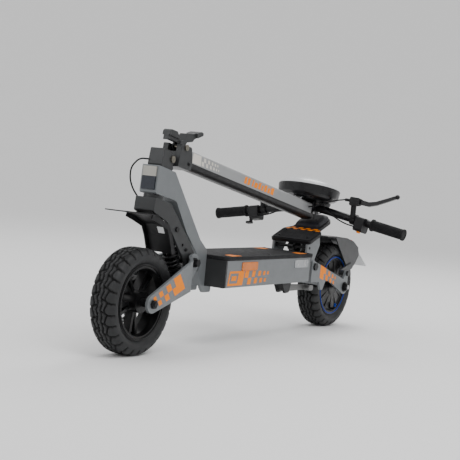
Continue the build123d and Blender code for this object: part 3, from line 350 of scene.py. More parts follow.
# Pale grey for the blank labels and the screen's dots, and as a painted highlight on every other display
# lead.
LABEL_AND_HIGHLIGHT = Finish("blank_label", (0.7, 0.71, 0.72), 0.5, grain_depth=0.00001, soft_edge=0.0)
BLUE = Finish("blue_ring", (0.001, 0.032, 0.3), 0.42, soft_edge=0.0, shine=0.2)
RED = Finish("red_lens", (0.45, 0.004, 0.006), 0.18, coat=0.4, grain=Grain.RIBBED, grain_scale=60,
             grain_depth=0.0003)
GLASS = Finish("screen_glass", (0.004, 0.0045, 0.006), 0.07, coat=0.6, grain_depth=0.000004)
GUARD = Finish("guard_plastic", (0.03, 0.031, 0.033), 0.34, coat=0.15, grain_depth=0.00002, shine=0.35)
FLAP = Finish("milky_flap", (0.62, 0.63, 0.64), 0.4, clear=0.35, grain_depth=0.00003)
FILM = Finish("cell_wrap", (0.02, 0.07, 0.2), 0.3, coat=0.3)
FINS = Finish("fin_alloy", (0.5, 0.51, 0.52), 0.4, 0.9, grain=Grain.BRUSHED, grain_scale=60)
PAD = Finish("padded_vinyl", (0.009, 0.0095, 0.015), 0.5, grain=Grain.WOVEN, grain_scale=420,
             grain_depth=0.0002, sheen=0.1, soft_edge=0.0, shine=0.25)

NODE_FINISH: dict[str, Finish] = {
    "neck_frame": GREY, "fork": CHARCOAL, "fold_base": CHARCOAL, "fold_top": CHARCOAL, "bar_clamp": BLACK,
    "handlebar": BLACK, "latch_lever": CHARCOAL, "latch_hook": CHARCOAL, "kickstand_bracket": BLACK,
    "front_shock_body": BLACK, "rear_shock_body": BLACK, "deck_shell": SILVER, "front_arms": SILVER,
    "rear_arms": SILVER, "footrest_brackets": SILVER, "deck_end_plates": CHARCOAL, "deck_lid": PLASTIC,
    "footrest_tray": PLASTIC, "front_fender": PLASTIC, "brake_perches": PLASTIC,
    "switch_housings": PLASTIC, "throttle_paddle": PLASTIC, "headlight_housing": PLASTIC,
    "deck_mat": MAT, "footrest_mat": MAT, "head_cable": RUBBER, "cockpit_cables": RUBBER,
    "front_rim": CAST, "hub_motor_shell": CAST, "front_caliper": CAST, "rear_caliper": CAST,
    "front_disc": STEEL, "rear_disc": STEEL, "headset_bearings": STEEL, "fold_pins": BRASSY,
    "front_axle": DARK_STEEL, "front_pivot_bolts": DARK_STEEL, "rear_pivot_bolts": DARK_STEEL,
    "front_shock_rod": DARK_STEEL, "rear_shock_rod": DARK_STEEL, "brake_lever_left": LEVER,
    "brake_lever_right": LEVER, "kickstand_leg": STAND, "horn_button": ORANGE, "tail_lamp": RED,
    "display_screen": GLASS, "rear_fender": GUARD, "rear_mud_flap": FLAP, "motor_stator": DARK_STEEL,
    "battery_pack": FILM, "motor_controller": FINS,
}


# ------------------------------------------------------------------ meshes
@dataclass(frozen=True)
class Place:
    """A frame to build in: an origin and three axes."""

    origin: Vector
    across: Vector
    up: Vector
    out: Vector

    def matrix(self) -> Matrix:
        """Returns the frame as a 4x4 matrix."""
        turn = Matrix((self.across, self.up, self.out)).transposed()
        return Matrix.Translation(self.origin) @ turn.to_4x4()

    def at(self, x: float, y: float, z: float) -> Vector:
        """Returns a point of this frame in the model's frame."""
        return self.origin + self.across * x + self.up * y + self.out * z


def add_mesh(name: str, points: Sequence[Sequence[float]], faces: Sequence[Sequence[int]],
             finish: Finish, place: Place | None = None, smooth: bool = True) -> bpy.types.Object:
    """Makes one mesh object.

    Args:
        name: the piece's name.
        points: the vertices, in place's frame.
        faces: the faces, as vertex numbers.
        finish: the surface finish.
        place: where the points stand; the model's own frame by default.
        smooth: whether faces flow into each other at shallow angles.

    Returns:
        The new object, linked to the scene.
    """
    mesh = bpy.data.meshes.new(name)
    mesh.from_pydata([tuple(p) for p in points], [], [tuple(f) for f in faces])
    mesh.validate()
    mesh.update()
    if place is not None:
        mesh.transform(place.matrix())
    if smooth:
        mesh.shade_smooth()
        mesh.set_sharp_from_angle(angle=SMOOTH_ANGLE)
    mesh.materials.append(finish.material())
    piece = bpy.data.objects.new(name, mesh)
    bpy.context.scene.collection.objects.link(piece)
    return piece


def join(name: str, pieces: Sequence[bpy.types.Object]) -> bpy.types.Object:
    """Joins several meshes into the first one and names it.

    Args:
        name: the joined piece's name.
        pieces: the meshes, the first of which stays.

    Returns:
        The joined object.
    """
    first = pieces[0]
    if len(pieces) > 1:
        with bpy.context.temp_override(active_object=first, selected_editable_objects=list(pieces)):
            bpy.ops.object.join()
    first.name = name
    return first


def ring_faces(rings: int, around: int, closed_rings: bool) -> list[tuple[int, int, int, int]]:
    """Quads between rings of points, each ring closed on itself.

    Args:
        rings: how many rings there are.
        around: how many points each ring has.
        closed_rings: whether the last ring meets the first.

    Returns:
        The faces as vertex numbers.
    """
    faces = []
    for i in range(rings if closed_rings else rings - 1):
        a, b = i * around, (i + 1) % rings * around
        for j in range(around):
            k = (j + 1) % around
            faces.append((a + j, a + k, b + k, b + j))
    return faces


def capped_faces(rings: int, around: int) -> list[Sequence[int]]:
    """Quads between rings of points, with a flat face over each end.

    Args:
        rings: how many rings there are.
        around: how many points each ring has.

    Returns:
        The faces as vertex numbers.
    """
    first, last = list(range(around)), (rings - 1) * around
    return [*ring_faces(rings, around, False), first[::-1], [last + j for j in first]]


def turned(name: str, profile: Sequence[Point2], place: Place, finish: Finish,
           around: int = 48) -> bpy.types.Object:
    """Turns (radius, height) corners round the place's out axis, with closed ends.

    Args:
        name: the piece's name.
        profile: corners from one end to the other.
        place: the axis frame.
        finish: the surface finish.
        around: facets round the axis.

    Returns:
        The new object.
    """
    turns = [2 * math.pi * j / around for j in range(around)]
    points = [(r * math.cos(t), r * math.sin(t), h) for r, h in profile for t in turns]
    return add_mesh(name, points, capped_faces(len(profile), around), finish, place)


def tube(name: str, path: Sequence[Vector], radius: float, finish: Finish,
         around: int = 12) -> bpy.types.Object:
    """Sweeps a round section along a smooth path.

    Args:
        name: the piece's name.
        path: the centre line.
        radius: the section's radius.
        finish: the surface finish.
        around: facets round the section.

    Returns:
        The new object.
    """
    points: list[Vector] = []
    side = Vector((0.0, 0.0, 1.0))
    for i, here in enumerate(path):
        ahead = (path[min(i + 1, len(path) - 1)] - path[max(i - 1, 0)]).normalized()
        side = (side - ahead * side.dot(ahead)).normalized()
        if side.length < 0.5:
            side = ahead.orthogonal().normalized()
        other = ahead.cross(side)
        for j in range(around):
            t = 2 * math.pi * j / around
            points.append(here + (side * math.cos(t) + other * math.sin(t)) * radius)
    return add_mesh(name, points, capped_faces(len(path), around), finish)


def smooth(points: Sequence[Vector], parts: int) -> list[Vector]:
    """Runs a smooth line through points.

    Args:
        points: the points to pass.
        parts: how many steps lie between two points.

    Returns:
        The points of the smooth line.
    """
    ends = [2 * points[0] - points[1], *points, 2 * points[-1] - points[-2]]
    line = []
    for a, b, c, d in zip(ends, ends[1:], ends[2:], ends[3:]):
        for k in range(parts):
            t = k / parts
            line.append(0.5 * (2 * b + (c - a) * t + (2 * a - 5 * b + 4 * c - d) * t * t
                               + (3 * b - a - 3 * c + d) * t ** 3))
    return [*line, points[-1]]


def plates(name: str, shapes: Sequence[Sequence[Point2]], place: Place, thickness: float,
           finish: Finish) -> bpy.types.Object:
    """Cuts flat plates of one thickness from outlines in the place's plane.

    Args:
        name: the piece's name.
        shapes: closed outlines, counter-clockwise.
        place: the plane; the plates stand on it along its out axis.
        thickness: how thick the plates are.
        finish: the surface finish.

    Returns:
        One object with all the plates.
    """
    points: list[tuple[float, float, float]] = []
    faces: list[list[int]] = []
    for shape in shapes:
        n, start = len(shape), len(points)
        points += [(x, y, 0.0) for x, y in shape] + [(x, y, thickness) for x, y in shape]
        faces.append([start + i for i in range(n)][::-1])
        faces.append([start + n + i for i in range(n)])
        faces += [[start + i, start + (i + 1) % n, start + n + (i + 1) % n, start + n + i]
                  for i in range(n)]
    return add_mesh(name, points, faces, finish, place, smooth=False)


def screw(name: str, place: Place, radius: float, height: float, finish: Finish) -> bpy.types.Object:
    """Round-headed screw with a hexagon socket, standing on a face.

    Args:
        name: the piece's name.
        place: the face's point and its outward axis.
        radius: the head's radius.
        height: the head's height.
        finish: the surface finish.

    Returns:
        The new object.
    """
    around = 24
    rings = [(radius, 0.0), (radius, height * 0.7), (radius * 0.82, height), (radius * 0.5, height),
             (radius * 0.5, height * 0.45)]
    points = []
    for k, (r, h) in enumerate(rings):
        for j in range(around):
            t = 2 * math.pi * j / around
            if k >= 3:
                r = rings[k][0] * math.cos(math.pi / 6) / math.cos(t % (math.pi / 3) - math.pi / 6)
            points.append((r * math.cos(t), r * math.sin(t), h))
    faces: list[Sequence[int]] = list(ring_faces(len(rings), around, False))
    faces.append(list(range(around))[::-1])
    faces.append([4 * around + j for j in range(around)])
    return add_mesh(name, points, faces, finish, place)


def facing(origin: Vector, out: Vector, up: Vector = Vector((0, 0, 1))) -> Place:
    """Makes a frame that looks along a direction.

    Args:
        origin: where the frame stands.
        out: the direction it looks along.
        up: a direction that is turned square to out and becomes up.

    Returns:
        The frame.
    """
    out = out.normalized()
    if abs(out.dot(up.normalized())) > 0.99:
        up = Vector((1, 0, 0))
    across = up.cross(out).normalized()
    return Place(origin, across, out.cross(across), out)


def checker_trail(start: float, cell: float, rows: int, columns: int, lean: float) -> list[list[Point2]]:
    """Leaning squares that thin out along a strip.

    Args:
        start: where the strip begins.
        cell: the first square's side.
        rows: how many rows.
        columns: how many columns.
        lean: sideways shift per unit of height.

    Returns:
        The outlines, counter-clockwise, round the strip's middle line.
    """
    shapes = []
    x = start
    for i in range(columns):
        size = cell * (1 - 0.62 * i / columns)
        for j in range(rows):
            if (i + j) % 2 or (i > columns * 0.6 and (i * 3 + j) % 4 == 1):
                continue
            y = (j - rows / 2) * cell + (cell - size) / 2
            corners = ((x, y), (x + size, y), (x + size, y + size), (x, y + size))
            shapes.append([(a + lean * b, b) for a, b in corners])
        x += size * 1.04
    return shapes


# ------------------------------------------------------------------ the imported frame
@dataclass
class Scooter:
    """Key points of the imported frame."""

    frame: dict[str, Any]
    joints: dict[str, dict[str, Any]] = field(init=False)
    dip: float = math.radians(9.75)
    droop: float = math.radians(10.0)

    def __post_init__(self) -> None:
        """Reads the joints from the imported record."""
        rows = self.frame["record"]["behaviour"]["joints"]
        self.joints = {row["name"]: row for row in rows}

    def point(self, joint: str) -> Vector:
        """Returns the point that a hinge turns about."""
        return Vector(self.joints[joint]["pos_m"])

    def stem(self) -> Place:
        """Finds the folded stem.

        Returns:
            The frame whose across runs along the stem from the hinge, with up to its upper side.
        """
        along = Vector((-math.cos(self.dip), 0, -math.sin(self.dip)))
        above = Vector((-math.sin(self.dip), 0, math.cos(self.dip)))
        return Place(self.point("stem_fold"), along, above, Vector((0, 1, 0)))

    def bar(self, side: float) -> Place:
        """Finds one half of the handlebar.

        Args:
            side: +1 for the left half, -1 for the right.

        Returns:
            The frame whose out runs along the half from the middle.
        """
        stem = self.stem()
        out = (stem.out * side * math.cos(self.droop) - stem.up * math.sin(self.droop)).normalized()
        return Place(self.point("throttle"), stem.across, out.cross(stem.across), out)


# ------------------------------------------------------------------ wheels
@dataclass
class Tyre:
    """Air tyre with a block tread, turned about an axle along Y."""

    radius: float = 0.1275
    half: float = 0.036
    pitches: int = 28
    per_pitch: int = 24
    groove: float = 0.0046

    def outline(self) -> np.ndarray:
        """Draws the outside line of the section, bead to bead.

        Returns:
            The finely divided line as rows of (radius, y).
        """
        r, w = self.radius, self.half
        half = [(0.0862, 0.0255), (0.0905, 0.0262), (0.0935, 0.0290), (0.098, 0.0328),
                (0.1045, w), (0.111, w - 0.0004), (r - 0.011, w - 0.0022), (r - 0.0062, w - 0.0052),
                (r - 0.0028, w - 0.0092), (r - 0.0009, w - 0.0145), (r, w - 0.021), (r, 0.0)]
        corners = np.array(half + [(a, -b) for a, b in half[-2::-1]])
        run = np.concatenate(([0.0], np.cumsum(np.hypot(*np.diff(corners, axis=0).T))))
        steps = np.linspace(0, run[-1], 97)
        fine = np.column_stack([np.interp(steps, run, corners[:, k]) for k in (0, 1)])
        for _ in range(2):
            fine[1:-1] = (fine[:-2] + 2 * fine[1:-1] + fine[2:]) / 4
        return fine

    def depth(self, turn: np.ndarray, y: np.ndarray) -> np.ndarray:
        """How deep the tread is cut, from 0 to 1.

        Args:
            turn: the place round the tyre, in pitches.
            y: the distance from the middle plane.

        Returns:
            The share of the full groove depth at each point.
        """
        side = np.where(y >= 0, 0.0, 0.5)
        zigzag = np.abs((turn + side) % 1 - 0.5) * 4 - 1
        a = np.abs(y)
        centre = np.abs(a - 0.0058 - 0.0022 * zigzag) < 0.0014
        outer = np.abs(a - 0.0170 - 0.0028 * zigzag) < 0.0017
        lean = (turn + side + a * 16) % 1
        blocks = (np.abs(lean - 0.5) < 0.07) & (a > 0.0058) & (a < 0.031)
        knobs = (np.abs((turn + side + 0.25 + a * 6) % 1 - 0.5) < 0.09) & (a > 0.0172) & (a < 0.0352)
        ribs = (np.abs((turn * 2 + a * 30) % 1 - 0.5) < 0.06) & (a < 0.0058)
        sipes = (np.abs((turn + side + 0.5 + a * 16) % 1 - 0.5) < 0.022) & (a > 0.0075) & (a < 0.0155)
        cut = np.maximum.reduce([centre * 1.0, outer * 1.0, blocks * 1.0, knobs * 0.9, ribs * 0.45,
                                 sipes * 0.5])
        return cut

    def build(self, name: str, axle: Vector) -> bpy.types.Object:
        """Builds the tyre round an axle.

        Args:
            name: the piece's name.
            axle: the middle of the axle.

        Returns:
            The new object.
        """
        line = self.outline()
        around = self.pitches * self.per_pitch
        turn = np.arange(around) / self.per_pitch
        cut = self.depth(turn[None, :], line[:, 1][:, None])
        soft = (cut + np.roll(cut, 1, 1) + np.roll(cut, -1, 1)) / 3
        tread = np.clip((line[:, 0] - 0.112) / 0.004, 0, 1)[:, None]
        radius = line[:, 0][:, None] - self.groove * soft * tread
        inner = np.array([(0.0862, -0.0195), (0.0915, -0.022), (0.1045, -0.028), (0.116, -0.024),
                          (0.1195, -0.015), (0.1195, 0.015), (0.116, 0.024), (0.1045, 0.028),
                          (0.0915, 0.022), (0.0862, 0.0195)])
        radius = np.vstack([radius, np.repeat(inner[:, 0][:, None], around, 1)])
        level = np.concatenate([line[:, 1], inner[:, 1]])
        angle = 2 * np.pi * np.arange(around) / around
        x = axle.x + radius * np.cos(angle)[None, :]
        z = axle.z + radius * np.sin(angle)[None, :]
        y = np.repeat(level[:, None], around, 1)
        points = np.stack([x, y, z], -1).reshape(-1, 3)
        faces = ring_faces(len(level), around, True)
        piece = add_mesh(name, points.tolist(), faces, TYRE)
        # Groove mask: where the tread is cut, the tyre turns near-black, which is painted shade in the
        # grooves.
        dark = np.vstack([soft * tread, np.zeros((len(inner), around))])
        piece.data.attributes.new("groove", "FLOAT", "POINT").data.foreach_set("value", dark.ravel())
        return piece


@dataclass
class Wheels:
    """Tyres, the rear wheel's coloured rings and both valves."""

    scooter: Scooter
    ring_radius: float = 0.0868
    ring_face: float = 0.0293
    valve_radius: float = 0.066

    def build(self) -> None:
        """Builds the fittings of both wheels."""
        self.tyre("front_tyre", "front_wheel", "front_wheel_spin")
        self.tyre("rear_tyre", "rear_wheel", "rear_wheel_spin")
        self.rings()
        self.valve("rear_valve", "rear_wheel", "rear_wheel_spin", math.radians(-100), BLUE, 1.0)
        self.valve("front_valve", "front_wheel", "front_wheel_spin", math.radians(64), RUBBER, 0.2)

    def tyre(self, node: str, body: str, joint: str) -> None:
        """Builds one tyre in place of its CAD node.

        Args:
            node: the tyre's CAD node.
            body: the body it rides on.
            joint: the joint at its axle.
        """
        piece = Tyre().build(node + "_tread", self.scooter.point(joint))
        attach(piece, body)
        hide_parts(node)

    def rings(self) -> None:
        """Blue rim rings on both faces of the rear wheel and plain ones in front."""
        for joint, body, finish in (("rear_wheel_spin", "rear_wheel", BLUE),
                                    ("front_wheel_spin", "front_wheel", CAST)):
            axle = self.scooter.point(joint)
            for side in (1, -1):
                place = facing(axle + Vector((0, side * self.ring_face, 0)), Vector((0, side, 0)))
                r = self.ring_radius
                section = [(r - 0.0016, -0.0002), (r - 0.0012, 0.0012), (r, 0.0018), (r + 0.0012, 0.0012),
                           (r + 0.0016, -0.0002)]
                around = 96
                turns = [2 * math.pi * j / around for j in range(around)]
                points = [(a * math.cos(t), a * math.sin(t), h) for a, h in section for t in turns]
                name = f"{body}_ring_{'left' if side > 0 else 'right'}"
                piece = add_mesh(name, points, ring_faces(len(section), around, True), finish, place)
                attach(piece, body)

    def valve(self, name: str, body: str, joint: str, angle: float, cap: Finish, lean: float) -> None:
        """Bent tyre valve with its cap.

        Args:
            name: the piece's name.
            body: the body it rides on.
            joint: the wheel's joint.
            angle: where it stands round the wheel.
            cap: the cap's finish.
            lean: how far it bends out to the side.
        """
        axle = self.scooter.point(joint)
        ray = Vector((math.cos(angle), 0, math.sin(angle)))
        foot = 0.079 if lean < 0.5 else 0.074
        out = Vector((0, 1, 0))
        start = axle + ray * foot + out * (0.0 if lean < 0.5 else 0.0245)
        bend = start + (out * lean - ray * (1 - lean)) * 0.009
        tip = bend + (out * lean * 0.3 - ray) * 0.013
        path = [start.lerp(bend, t / 4) for t in range(4)] + [bend.lerp(tip, t / 4) for t in range(5)]
        stem_piece = tube(name, path, 0.0027, RUBBER)
        end = (tip - bend).normalized()
        cap_piece = tube(name + "_cap", [tip - end * 0.006, tip + end * 0.003], 0.0037, cap)
        for piece in (stem_piece, cap_piece):
            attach(piece, body)


# ------------------------------------------------------------------ shock springs
@dataclass
class ShockSpring:
    """Coil round a shock, riding on the shock's upper part."""

    name: str
    scooter: Scooter
    end: str
    radius: float = 0.0175
    wire: float = 0.0033
    turns: float = 6.0
    top_seat: float = 0.024
    foot_seat: float = 0.022
    stroke_limit: float = 0.020

    def build(self) -> bpy.types.Object:
        """Builds the coil in place of its CAD node.

        Returns:
            The new object.
        """
        joint = self.scooter.joints[f"{self.end}_shock_stroke"]
        top = self.scooter.point(f"{self.end}_shock_swing")
        axis = Vector(joint["axis"]).normalized()
        length = self.length(top, axis)
        free = length - self.top_seat - self.foot_seat
        place = facing(top + axis * self.top_seat, axis, Vector((0, 1, 0)))
        path = []
        steps = int(self.turns * 28)
        height = free - 2 * self.wire
        for i in range(steps + 1):
            share = i / steps
            rise = self.wire + height * (share - 0.35 * math.sin(2 * math.pi * share) / (2 * math.pi))
            t = 2 * math.pi * self.turns * share
            path.append(place.at(self.radius * math.cos(t), self.radius * math.sin(t), rise))
        coil = tube(self.name, path, self.wire, BLACK, around=14)
        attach(coil, f"{self.end}_shock_upper")
        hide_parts(f"{self.end}_spring")
        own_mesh(coil)
        return coil

    def length(self, top: Vector, axis: Vector) -> float:
        """Measures the distance between the shock's eyes.

        Args:
            top: the upper eye.
            axis: the shock's direction, towards the lower eye.

        Returns:
            The distance along the axis.
        """
        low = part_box(f"{self.end}_shock_rod")[0]
        if self.end == "front":
            return (low.z + EYE_RADIUS - top.z) / axis.z
        return (low.x + EYE_RADIUS - top.x) / axis.x


# ------------------------------------------------------------------ cockpit
@dataclass
class Cockpit:
    """Ribbed grips, clamp screws, the screen's bezel and the stem's graphics."""

    scooter: Scooter
    grip_length: float = 0.104
    grip_radius: float = 0.016

    def build(self) -> None:
        """Builds the cockpit's own pieces."""
        pieces = [self.grip(side) for side in (1, -1)]
        grips = join("grips_ribbed", pieces)
        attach(grips, "stem")
        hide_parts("grips")
        self.stem_graphics()
        self.screws()
        self.bezel()
        self.wires()

    def grip(self, side: float) -> bpy.types.Object:
        """Rubber grip with a diamond pattern between plain rings.

        Args:
            side: +1 for the left grip, -1 for the right.

        Returns:
            The new object.
        """
        place = self.scooter.bar(side)
        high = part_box("grips")[1]
        tip = (high.y - 0.0012) / math.cos(self.scooter.droop)
        tip -= self.grip_radius * math.tan(self.scooter.droop)
        start = tip - self.grip_length
        around, rows = 72, 150
        points: list[tuple[float, float, float]] = []
        for i in range(rows + 1):
            z = start + self.grip_length * i / rows
            from_end = min(z - start, tip - z)
            for j in range(around):
                t = 2 * math.pi * j / around
                radius = self.grip_radius - 0.0006
                lay = (z / 0.0085 + j / around * 12) % 1, (z / 0.0085 - j / around * 12) % 1
                if 0.012 < from_end:
                    radius -= 0.0009 * (1 if min(lay) < 0.22 else 0)
                elif 0.0085 < from_end < 0.0105:
                    radius -= 0.0012
                elif from_end < 0.0055:
                    radius += 0.0024 if z - start < 0.02 else 0.0014
                points.append((radius * math.cos(t), radius * math.sin(t), z))
        faces: list[Sequence[int]] = list(ring_faces(rows + 1, around, False))
        bore = 0.0112
        inner = len(points)
        turns = [2 * math.pi * j / around for j in range(around)]
        points += [(bore * math.cos(t), bore * math.sin(t), start) for t in turns]
        faces += [(inner + j, inner + (j + 1) % around, (j + 1) % around, j) for j in range(around)]
        faces.append([rows * around + j for j in range(around)])
        return add_mesh(f"grip_{'left' if side > 0 else 'right'}", points, faces, RUBBER, place)

    def stem_graphics(self) -> None:
        """Pale leaning squares by the fold and plain orange bars further along, on both sides."""
        stem = self.scooter.stem()
        half = 0.0241
        for side, label in SIDES:
            origin = stem.origin + Vector((0, side * half, 0)) + stem.up * 0.022
            across = stem.across
            place = Place(origin, across, stem.up, Vector((0, side, 0)))
            if across.cross(stem.up).dot(place.out) < 0:
                place = Place(origin, across, -stem.up, Vector((0, side, 0)))
            flip = 1 if place.up.dot(stem.up) > 0 else -1
            pale = checker_trail(0.122, 0.0105, 2, 11, -0.3 * flip)
            pale.append([(0.079, -0.0118), (0.121, -0.0118), (0.117, 0.0118), (0.079, 0.0118)])
            piece = plates(f"stem_squares_{label}", pale, place, DECAL, PALE)
            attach(piece, "stem")
            bars = []
            x = 0.342
            for width, tall in ((0.012, 1), (0.012, 1), (0.0, 0), (0.007, 1), (0.016, 0.6), (0.012, 1),
                                (0.009, 0.6), (0.014, 1), (0.012, 0.6), (0.016, 1)):
                if width:
                    top = 0.0105 * tall
                    bars.append([(x, -0.0085), (x + width, -0.0085), (x + width + 0.003, top - 0.001),
                                 (x + 0.003, top - 0.001)])
                x += width + 0.0062
            piece = plates(f"stem_bars_{label}", bars, place, DECAL, ORANGE)
            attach(piece, "stem")

    def screws(self) -> None:
        """Socket screws of the fold block and the bar clamp."""
        stem = self.scooter.stem()
        for k, (u, n, y) in enumerate(((0.062, 0.002, 0.027), (0.062, 0.002, -0.027), (0.766, 0.012, 0.024),
                                       (0.766, 0.012, -0.024))):
            side = 1 if y > 0 else -1
            place = facing(stem.at(u, n, y), Vector((0, side, 0)))
            piece = screw(f"stem_screw_{k}", place, 0.0042, 0.0028, STEEL if k > 1 else DARK_STEEL)
            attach(piece, "stem")
        for k, u in enumerate((0.772, 0.798)):
            for y in (0.014, -0.014):
                place = facing(stem.at(u, 0.0584, y), stem.up)
                piece = screw(f"clamp_screw_{k}_{'left' if y > 0 else 'right'}", place, 0.004, 0.003, STEEL)
                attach(piece, "stem")

    def wires(self) -> None:
        """Thin leads that loop from the display's underside into the stem's end; every other lead is pale, a
        painted highlight on the leads.
        """
        stem = self.scooter.stem()
        for k, (start, side, drop) in enumerate(((0.712, 0.020, 0.000), (0.704, 0.012, 0.002),
                                                 (0.716, -0.016, 0.001), (0.700, -0.008, 0.003))):
            points = [(start, 0.049, side), (start - 0.008, 0.0445 - drop, side * 1.05),
                      (start - 0.004, 0.0405, side * 0.9), (start + 0.016, 0.0395, side * 0.7),
                      (start + 0.036, 0.0402, side * 0.6)]
            path = smooth([stem.at(u, n, y) for u, n, y in points], 8)
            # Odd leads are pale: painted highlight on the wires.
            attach(tube(f"display_lead_{k}", path, 0.0011, LABEL_AND_HIGHLIGHT if k % 2 else RUBBER, 8), "stem")

    def bezel(self) -> None:
        """Thin bright ring round the screen, with four plain status dots under the glass."""
        low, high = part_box("display_screen")
        middle = (low + high) / 2
        tilt = math.radians(35) + self.scooter.dip
        normal = Vector((-math.sin(tilt), 0, -math.cos(tilt)))
        place = facing(middle + normal * 0.0014, normal, Vector((0, 1, 0)))
        around = 72
        section = [(0.0322, 0.0), (0.0326, 0.0011), (0.0338, 0.0014), (0.035, 0.0011), (0.0354, 0.0)]
        turns = [2 * math.pi * j / around for j in range(around)]
        points = [(a * math.cos(t), a * math.sin(t), h) for a, h in section for t in turns]
        ring = add_mesh("screen_bezel", points, ring_faces(len(section), around, True), DARK_STEEL, place)
        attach(ring, "stem")
        dots = [[(x + 0.002 * math.cos(k * math.pi / 8), -0.02 + 0.002 * math.sin(k * math.pi / 8))
                 for k in range(16)] for x in (-0.012, -0.004, 0.004, 0.012)]
        marks = plates("screen_dots", dots, place, DECAL, LABEL_AND_HIGHLIGHT)
        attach(marks, "stem")


# ------------------------------------------------------------------ deck and footrest
@dataclass
class Deck:
    """Deck and footrest graphics, screws and the padded tail."""

    scooter: Scooter
    slope: float = math.radians(20)

    def build(self) -> None:
        """Builds the deck's own pieces."""
        self.side_graphics()
        self.mat_graphics()
        self.tail_pad()
        self.foot_wrap()
        self.screws()

    def side_graphics(self) -> None:
        """Orange block and thinning squares low on both sides of the deck."""
        low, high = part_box("deck_shell")
        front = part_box("deck_end_plates")[1].x
        for side, label in SIDES:
            out = Vector((0, side, 0))
            face = high.y if side > 0 else low.y
            origin = Vector((front - 0.016, face + side * DECAL_GAP, low.z + 0.0245))
            place = Place(origin, Vector((-1, 0, 0)), Vector((0, 0, -side)), out)
            lean = -0.22 * side
            shapes = checker_trail(0.079, 0.0185, 2, 9, lean)
            tall, bar, wide = 0.0185, 0.0055, 0.074
            frame = [[(0.0, -tall), (wide, -tall), (wide, bar - tall), (0.0, bar - tall)],
                     [(0.0, tall - bar), (wide, tall - bar), (wide, tall), (0.0, tall)],
                     [(0.0, bar - tall), (bar, bar - tall), (bar, tall - bar), (0.0, tall - bar)],
                     [(0.046, bar - tall), (wide, bar - tall), (wide, tall - bar), (0.046, tall - bar)],
                     [(0.014, -0.006), (0.038, -0.006), (0.038, 0.006), (0.014, 0.006)]]
            leaning = [[(x + lean * y, y) for x, y in shape] for shape in frame]
            piece = plates(f"deck_squares_{label}", leaning + shapes, place, DECAL, ORANGE)
            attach(piece, "frame")

    def mat_graphics(self) -> None:
        """Orange corner patches on the deck's rubber cover."""
        low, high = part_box("deck_mat")
        patches = []
        for x, length in ((high.x - 0.088, 0.05), (low.x + 0.026, 0.047)):
            for side in (1, -1):
                outer = side * (high.y - 0.010)
                inner = side * (high.y - 0.040)
                shape = [(x, outer), (x + length, outer), (x + length - 0.012, inner), (x + 0.010, inner)]
                patches.append(shape if side < 0 else shape[::-1])
        place = Place(Vector((0, 0, high.z)), Vector((1, 0, 0)), Vector((0, 1, 0)), Vector((0, 0, 1)))
        piece = plates("mat_patches", patches, place, 0.0003, ORANGE)
        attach(piece, "frame")

    def foot(self) -> Place:
        """Finds the footrest's top.

        Returns:
            The frame whose across runs up the slope to the rear, with out as the top's normal.
        """
        up = Vector((math.sin(self.slope), 0, math.cos(self.slope)))
        along = Vector((-math.cos(self.slope), 0, math.sin(self.slope)))
        points = [v.co for v in self.scooter.frame["nodes"]["footrest_mat"].data.vertices]
        top = max(points, key=lambda p: p.dot(up))
        front = max(points, key=lambda p: -p.dot(along))
        origin = up * top.dot(up) + along * front.dot(along)
        return Place(origin, along, Vector((0, 1, 0)), up)

    def tail_pad(self) -> None:
        """Crowned pad on the footrest's narrow tail, with stitched edges."""
        place = self.foot()
        start, end, half, thick = 0.096, 0.186, 0.0405, 0.0125
        rows, columns = 40, 40
        points: list[tuple[float, float, float]] = []
        for i in range(rows + 1):
            s = 2 * i / rows - 1
            for j in range(columns + 1):
                t = 2 * j / columns - 1
                pull = 1 - 0.10 * abs(s) ** 6
                round_off = 1 - 0.16 * max(0.0, s) ** 4
                x = (start + end) / 2 + (end - start) / 2 * s * (1 - 0.07 * abs(t) ** 6)
                crown = (1 - abs(s) ** 5) * (1 - abs(t) ** 5)
                seam = 0.0012 * math.exp(-((abs(t) - 0.72) / 0.05) ** 2)
                points.append((x, half * t * pull * round_off, 0.0015 + thick * crown ** 0.55 - seam * crown))
        top = len(points)
        points += [(x, y, 0.0002) for x, y, _ in points]
        faces: list[Sequence[int]] = []
        w = columns + 1
        for i in range(rows):
            for j in range(columns):
                a = i * w + j
                faces.append((a, a + 1, a + w + 1, a + w))
                faces.append((top + a, top + a + w, top + a + w + 1, top + a + 1))
        edge = ([(j, j + 1) for j in range(columns)]
                + [(i * w + columns, (i + 1) * w + columns) for i in range(rows)]
                + [(rows * w + j + 1, rows * w + j) for j in range(columns)]
                + [((i + 1) * w, i * w) for i in range(rows)])
        faces += [(b, a, top + a, top + b) for a, b in edge]
        piece = add_mesh("tail_pad", points, faces, PAD, place)
        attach(piece, "frame")

    def foot_wrap(self) -> None:
        """Orange leaning squares across the footrest in front of the pad and down its edges."""
        place = self.foot()
        shapes = []
        for k in range(9):
            y = -0.054 + 0.0122 * k
            for row in range(2):
                if (k + row) % 2 == 0:
                    x = 0.070 + 0.0085 * row
                    far = x + 0.0085
                    shapes.append([(x, y), (far, y + 0.003), (far, y + 0.0152), (x, y + 0.0122)])
        piece = plates("foot_squares", [s[::-1] for s in shapes], place, 0.0003, ORANGE)
        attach(piece, "frame")

    def screws(self) -> None:
        """Screws in the footrest and through the deck's cover."""
        foot = self.foot()
        spots = [foot.at(x, y, 0.0) for x in (0.016, 0.062) for y in (-0.046, 0.046)]
        for k, spot in enumerate(spots):
            piece = screw(f"foot_screw_{k}", facing(spot, foot.out), 0.0036, 0.0016, DARK_STEEL)
            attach(piece, "frame")
        low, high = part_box("deck_mat")
        k = 0
        for x in (low.x + 0.014, (low.x + high.x) / 2, high.x - 0.014):
            for y in (low.y + 0.014, high.y - 0.014):
                place = facing(Vector((x, y, high.z)), Vector((0, 0, 1)))
                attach(screw(f"deck_screw_{k}", place, 0.004, 0.0014, DARK_STEEL), "frame")
                k += 1


